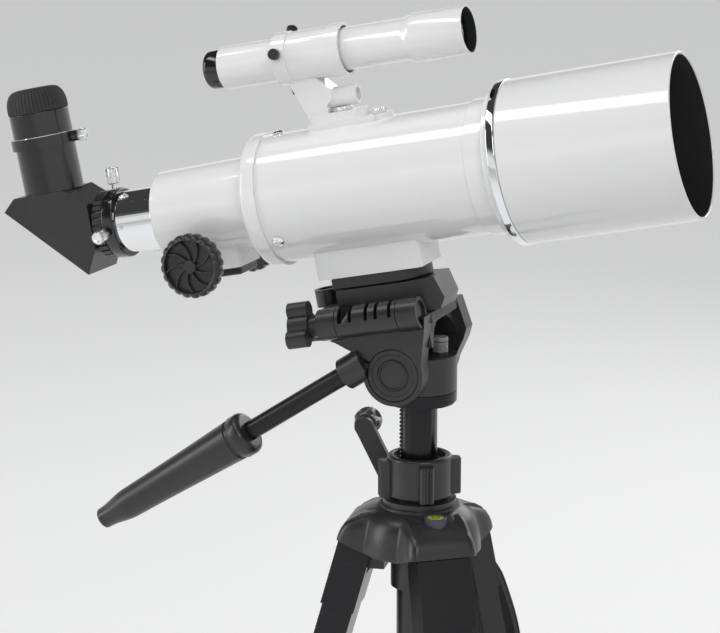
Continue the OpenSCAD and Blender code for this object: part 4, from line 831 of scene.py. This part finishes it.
def focus_knob(name, place):
    """One knob, standing on z = 0, its face outwards."""
    rim_in = KNOB_R - 0.0012 - RIM_WALL
    rim = ribbed(name + "_rim", [(0, 0.0003), (KNOB_R - 0.0035, 0.0003), (KNOB_R - 0.0016, 0.0009),
                                 (KNOB_R - 0.0004, 0.0022), (KNOB_R, 0.0036), (KNOB_R, KNOB_H - 0.0034),
                                 (KNOB_R - 0.0004, KNOB_H - 0.0020), (KNOB_R - 0.0016, KNOB_H - 0.0008),
                                 (rim_in + 0.0008, KNOB_H - 0.0001), (rim_in + 0.0003, KNOB_H - 0.0003),
                                 (rim_in, KNOB_H - KNOB_SINK), (HUB_R + 0.0006, KNOB_H - KNOB_SINK),
                                 (HUB_R, KNOB_H - 0.0012), (HUB_R - 0.0006, KNOB_H - 0.0006), (0, KNOB_H - 0.0006)],
                 place, satin_black, ribs=20, depth=0.0009, low=0.0008, high=KNOB_H - 0.0006, share=0.36,
                 edge=0.34, per_rib=10)
    inner = []
    for edge in (-1, 1):
        curve = [(SPOKE_BEND + edge * SPOKE_HALF, radians(a)) for a in range(14, 84, 7)]
        points = [(r * cos(a - pi / 2), SPOKE_BEND + r * sin(a - pi / 2)) for r, a in curve]
        inner.append([p for p in points if (p[0] ** 2 + p[1] ** 2) ** 0.5 < rim_in + 0.0006])
    outline = inner[0] + inner[1][::-1]
    spoke = shaped(name + "_spoke", outline, KNOB_H - KNOB_SINK - 0.0003, KNOB_H - 0.0011, 0.00025)
    spokes = grown(spoke, repeat_item, place, satin_black,
                   {"Count": KNOB_SPOKES, "Step": (0, 0, 0), "Turn": 2 * pi / KNOB_SPOKES})
    return [rim, spokes]


far_knob = focus_knob("knob_a", knob_place @ Matrix.Translation((0, 0, knobs_high.z - KNOB_H)))
near_knob = focus_knob("knob_b", knob_place @ Matrix.Rotation(pi, 4, "X")
                       @ Matrix.Translation((0, 0, -knobs_low.z - KNOB_H)))
mount(joined("focus_knobs_fluted", far_knob + near_knob), "focus_knobs")


# ---- Drawtube adapter and clamp screws ----
# A black ring screwed on the drawtube, grooved all round at the back and glossy in
# front. Two chromed screws with knurled heads clamp the diagonal in it.
gloss_black = finish("gloss_black_plastic", (0.01, 0.01, 0.011), (0.016, 0.016, 0.017), (0.1, 0.18), patch=26,
                     grain=1400, relief=0.03, dust=0.08, Coat_Weight=0.4)
ADAPTER_BORE, TUBE_BORE, ADAPTER_SPLIT, ADAPTER_SEAT = 0.01595, 0.0197, -0.2087, -0.2030
adapter_low, adapter_high = span("drawtube_adapter", optical)
adapter_r = adapter_high.x
ring_back = ribbed("adapter_grooved", [(ADAPTER_BORE, adapter_low.z), (adapter_r - 0.0032, adapter_low.z),
                                       (adapter_r - 0.0006, adapter_low.z + 0.0008),
                                       (adapter_r - 0.0006, ADAPTER_SPLIT - 0.0006),
                                       (adapter_r - 0.0012, ADAPTER_SPLIT), (ADAPTER_BORE, ADAPTER_SPLIT),
                                       (ADAPTER_BORE, adapter_low.z)], optical, satin_black, ribs=30,
                   depth=0.0009, low=adapter_low.z + 0.0004, high=ADAPTER_SPLIT - 0.0003, share=0.24, edge=0.08,
                   per_rib=12)
ring_front = turned_in(optical, "adapter_smooth",
                       [(ADAPTER_BORE, ADAPTER_SPLIT - 0.0005), (adapter_r - 0.0016, ADAPTER_SPLIT - 0.0005)]
                       + arc(adapter_r - 0.0012, ADAPTER_SPLIT + 0.0012, 0.0012, -90, 0)
                       + arc(adapter_r - 0.0012, adapter_high.z - 0.0012, 0.0012, 0, 90)
                       + [(TUBE_BORE, adapter_high.z), (TUBE_BORE, ADAPTER_SEAT), (ADAPTER_BORE, ADAPTER_SEAT)],
                       [gloss_black])
mount(joined("adapter_turned", [ring_back, ring_front]), "drawtube_adapter")


def knurled_screw(node, joint, stem_r, head_r, head_h, material):
    """A screw with a knurled head, on its joint's axis; the head is at the outer end."""
    place = frame_on(joint, tube_forward.cross(tube_up) * 0.6 + tube_forward + tube_up * 0.3)
    low, high = span(node, place)
    if high.z < -low.z:
        place = place @ Matrix.Rotation(pi, 4, "X")
        low, high = span(node, place)
    base = high.z - head_h
    stem = turned_in(place, node + "_stem", [(0, low.z), (stem_r, low.z), (stem_r, base + 0.0005),
                                             (0, base + 0.0005)], [material], 32)
    head = ribbed(node + "_head", [(0, base), (head_r - 0.0009, base), (head_r - 0.0001, base + 0.0007),
                                   (head_r - 0.0001, high.z - 0.0009), (head_r - 0.0009, high.z - 0.0001),
                                   (head_r - 0.0020, high.z - 0.0001), (head_r - 0.0023, high.z - 0.0004),
                                   (0, high.z - 0.0004)], place, material, ribs=24, depth=0.0004,
                  low=base + 0.0004, high=high.z - 0.0006, share=0.5, edge=0.3)
    mount(joined(node + "_turned", [stem, head]), node)


knurled_screw("adapter_screw_top", "top_screw_turn", 0.0018, 0.0043, 0.0105, chrome)
knurled_screw("adapter_screw_side", "side_screw_turn", 0.0018, 0.0043, 0.0105, chrome)
knurled_screw("eyepiece_thumbscrew", "holder_screw_turn", 0.0018, 0.0040, 0.0055, chrome)


# ---- Star diagonal and eyepiece ----
# A moulded prism-shaped body with a chromed nosepiece and a silvered mirror. Its glossy
# holder takes the eyepiece, a glossy body on a chromed barrel with a ribbed rubber cap.
EYEPIECE_STATION, DIAGONAL_FRONT, EYEPIECE_SHOULDER = -0.2482, -0.2172, 0.063
dress("diagonal_body", satin_black, chrome, width=0.0005, segments=3,
      pick=lambda centre: int((optical.inverted() @ centre).z > DIAGONAL_FRONT))
silvering = finish("silvered_mirror", (0.92, 0.93, 0.94), (0.88, 0.89, 0.9), (0.0, 0.02), patch=30, relief=0.0,
                   dust=0.1, Metallic=1.0)
paint(silvering, "diagonal_mirror")
# Frame of the eyepiece: z up along it, from the optical axis.
eye_place = optical @ Matrix.Translation((0, 0, EYEPIECE_STATION)) @ Matrix.Rotation(pi / 2, 4, "Y")
dress("eyepiece_holder", gloss_black, width=0.0006, segments=3)
dress("eyepiece_body", gloss_black, chrome, width=0.0004, segments=3,
      pick=lambda centre: int((eye_place.inverted() @ centre).z < EYEPIECE_SHOULDER))
grip_rubber = finish("grip_rubber", (0.022, 0.022, 0.023), (0.045, 0.045, 0.046), (0.5, 0.65), patch=40, grain=1500,
                     relief=0.2, dust=0.2)
rubber_low, rubber_high = span("eyepiece_grip", eye_place)
cap_wide, cap_foot, cap_top = rubber_high.x, rubber_low.z, rubber_high.z
CAP_BORE, EYE_BORE, CAP_STRAIGHT, CAP_TOP_R, FIELD_STOP = 0.0142, 0.008, 0.0038, 0.0122, 0.084
cap_rows = [(cap_wide - (cap_wide - CAP_TOP_R) * (1 - cos(radians(a))),
             cap_foot + CAP_STRAIGHT + (cap_top - 0.0003 - cap_foot - CAP_STRAIGHT) * sin(radians(a)))
            for a in (0, 12, 24, 36, 48, 60, 72, 82)]
grip_profile = ([(CAP_BORE, cap_foot), (cap_wide - 0.0008, cap_foot), (cap_wide, cap_foot + 0.0005)] + cap_rows
                + [(CAP_TOP_R - 0.0012, cap_top), (EYE_BORE + 0.0006, cap_top), (EYE_BORE, cap_top - 0.0006),
                   (EYE_BORE, FIELD_STOP), (CAP_BORE, FIELD_STOP), (CAP_BORE, cap_foot)])
mount(ribbed("eyepiece_cap_fluted", grip_profile, eye_place, grip_rubber, ribs=48, depth=0.0007,
             low=cap_foot + 0.0003, high=cap_top - 0.0014, share=0.45), "eyepiece_grip")


# ---- Finder and its bracket ----
# A small white telescope in a cast bracket with a ring, a leaning arm and a foot
# curved to the tube. Three black knurled screws centre it, and two nuts hold the foot.
dress("finder_bracket", enamel, width=0.0006, segments=3)
FINDER_RISE, FINDER_STATION, FINDER_DIP = 0.0839, -0.050, radians(0.9)
# Frame of the finder: z forward along it, x up.
finder_place = (optical @ Matrix.Translation((FINDER_RISE, 0, FINDER_STATION))
                @ Matrix.Rotation(-FINDER_DIP, 4, "Y"))
finder_low, finder_high = span("finder_tube", finder_place)
FINDER_R, FINDER_BORE, BELL_START, BELL_R, BELL_END_R, LENS_SEAT, LENS_SEAT_R = (
    0.0133, 0.0120, 0.058, 0.0150, 0.0144, 0.088, 0.0128)
rim = finder_high.z
finder_profile = [(FINDER_BORE, finder_low.z), (FINDER_R - 0.0003, finder_low.z), (FINDER_R, finder_low.z + 0.0003),
                  (FINDER_R, BELL_START), (FINDER_R + 0.0004, BELL_START + 0.0006),
                  (BELL_R - 0.0003, BELL_START + 0.0045),
                  (BELL_R, BELL_START + 0.0055), (BELL_END_R, rim - 0.0007), (BELL_END_R - 0.0003, rim - 0.0001),
                  (BELL_END_R - 0.0007, rim), (LENS_SEAT_R + 0.0002, rim - 0.0003), (LENS_SEAT_R, LENS_SEAT),
                  (FINDER_BORE, LENS_SEAT)]
mount(turned_in(finder_place, "finder_tube_turned", finder_profile, [enamel, flock], 96, [0] * 9 + [1] * 4),
      "finder_tube")
eye_low, eye_high = span("finder_eyepiece", finder_place)
CUP_R, CUP_BORE, CUP_EASE = 0.0118, 0.005, 0.0034
cup_front = finder_low.z
mount(turned_in(finder_place, "finder_eyepiece_turned",
                [(CUP_BORE, eye_low.z + 0.0012), (CUP_BORE + 0.0012, eye_low.z)]
                + arc(CUP_R - CUP_EASE, eye_low.z + CUP_EASE, CUP_EASE, -90, 0, 6)
                + [(CUP_R, cup_front - 0.0008), (CUP_R - 0.0003, cup_front - 0.0003),
                   (CUP_R - 0.0003, cup_front + 0.0002), (FINDER_BORE - 0.00005, cup_front + 0.0002),
                   (FINDER_BORE - 0.00005, eye_high.z),
                   (CUP_BORE, eye_high.z)], [gloss_black]), "finder_eyepiece")
SCREW_STATION, SCREW_R, SCREW_SEAT, SCREW_HEAD_R, SCREW_HEAD_H = -0.0215, 0.0015, 0.0186, 0.0034, 0.005
TUBE_R, TUBE_WALL = 0.040, 0.0015
# Station, rise of the head above the tube, head radius and height.
NUTS = [(-0.019, 0.0024, 0.0046, 0.0032), (-0.042, 0.0075, 0.0064, 0.0019)]


def knurled_pin(name, place, stem_r, start, head_z, head_r, head_h, material):
    """A stem along z with a knurled head on its end."""
    top = head_z + head_h
    return [turned_in(place, name + "_stem", [(0, start), (stem_r, start), (stem_r, head_z + 0.0003),
                                              (0, head_z + 0.0003)], [material], 24),
            ribbed(name + "_head", [(0, head_z), (head_r - 0.0006, head_z), (head_r, head_z + 0.0006),
                                    (head_r, top - 0.0006), (head_r - 0.0006, top), (0, top)], place, material,
                   ribs=24, depth=0.00035, low=head_z + 0.0004, high=top - 0.0004, share=0.5, edge=0.3)]


held = []
for turn in (78, 198, 318):
    place = (finder_place @ Matrix.Translation((0, 0, SCREW_STATION)) @ Matrix.Rotation(radians(turn), 4, "Z")
             @ Matrix.Rotation(pi / 2, 4, "Y"))
    held += knurled_pin(f"finder_screw_{turn}", place, SCREW_R, FINDER_R, SCREW_SEAT, SCREW_HEAD_R, SCREW_HEAD_H,
                        satin_black)
for station, rise, head_r, head_h in NUTS:
    place = optical @ Matrix.Translation((0, 0, station)) @ Matrix.Rotation(pi / 2, 4, "Y")
    held += knurled_pin(f"bracket_nut_{round(-station * 1000)}", place, 0.002, TUBE_R - TUBE_WALL, TUBE_R + rise,
                        head_r, head_h, chrome)
mount(joined("finder_screws_turned", held), "finder_screws")
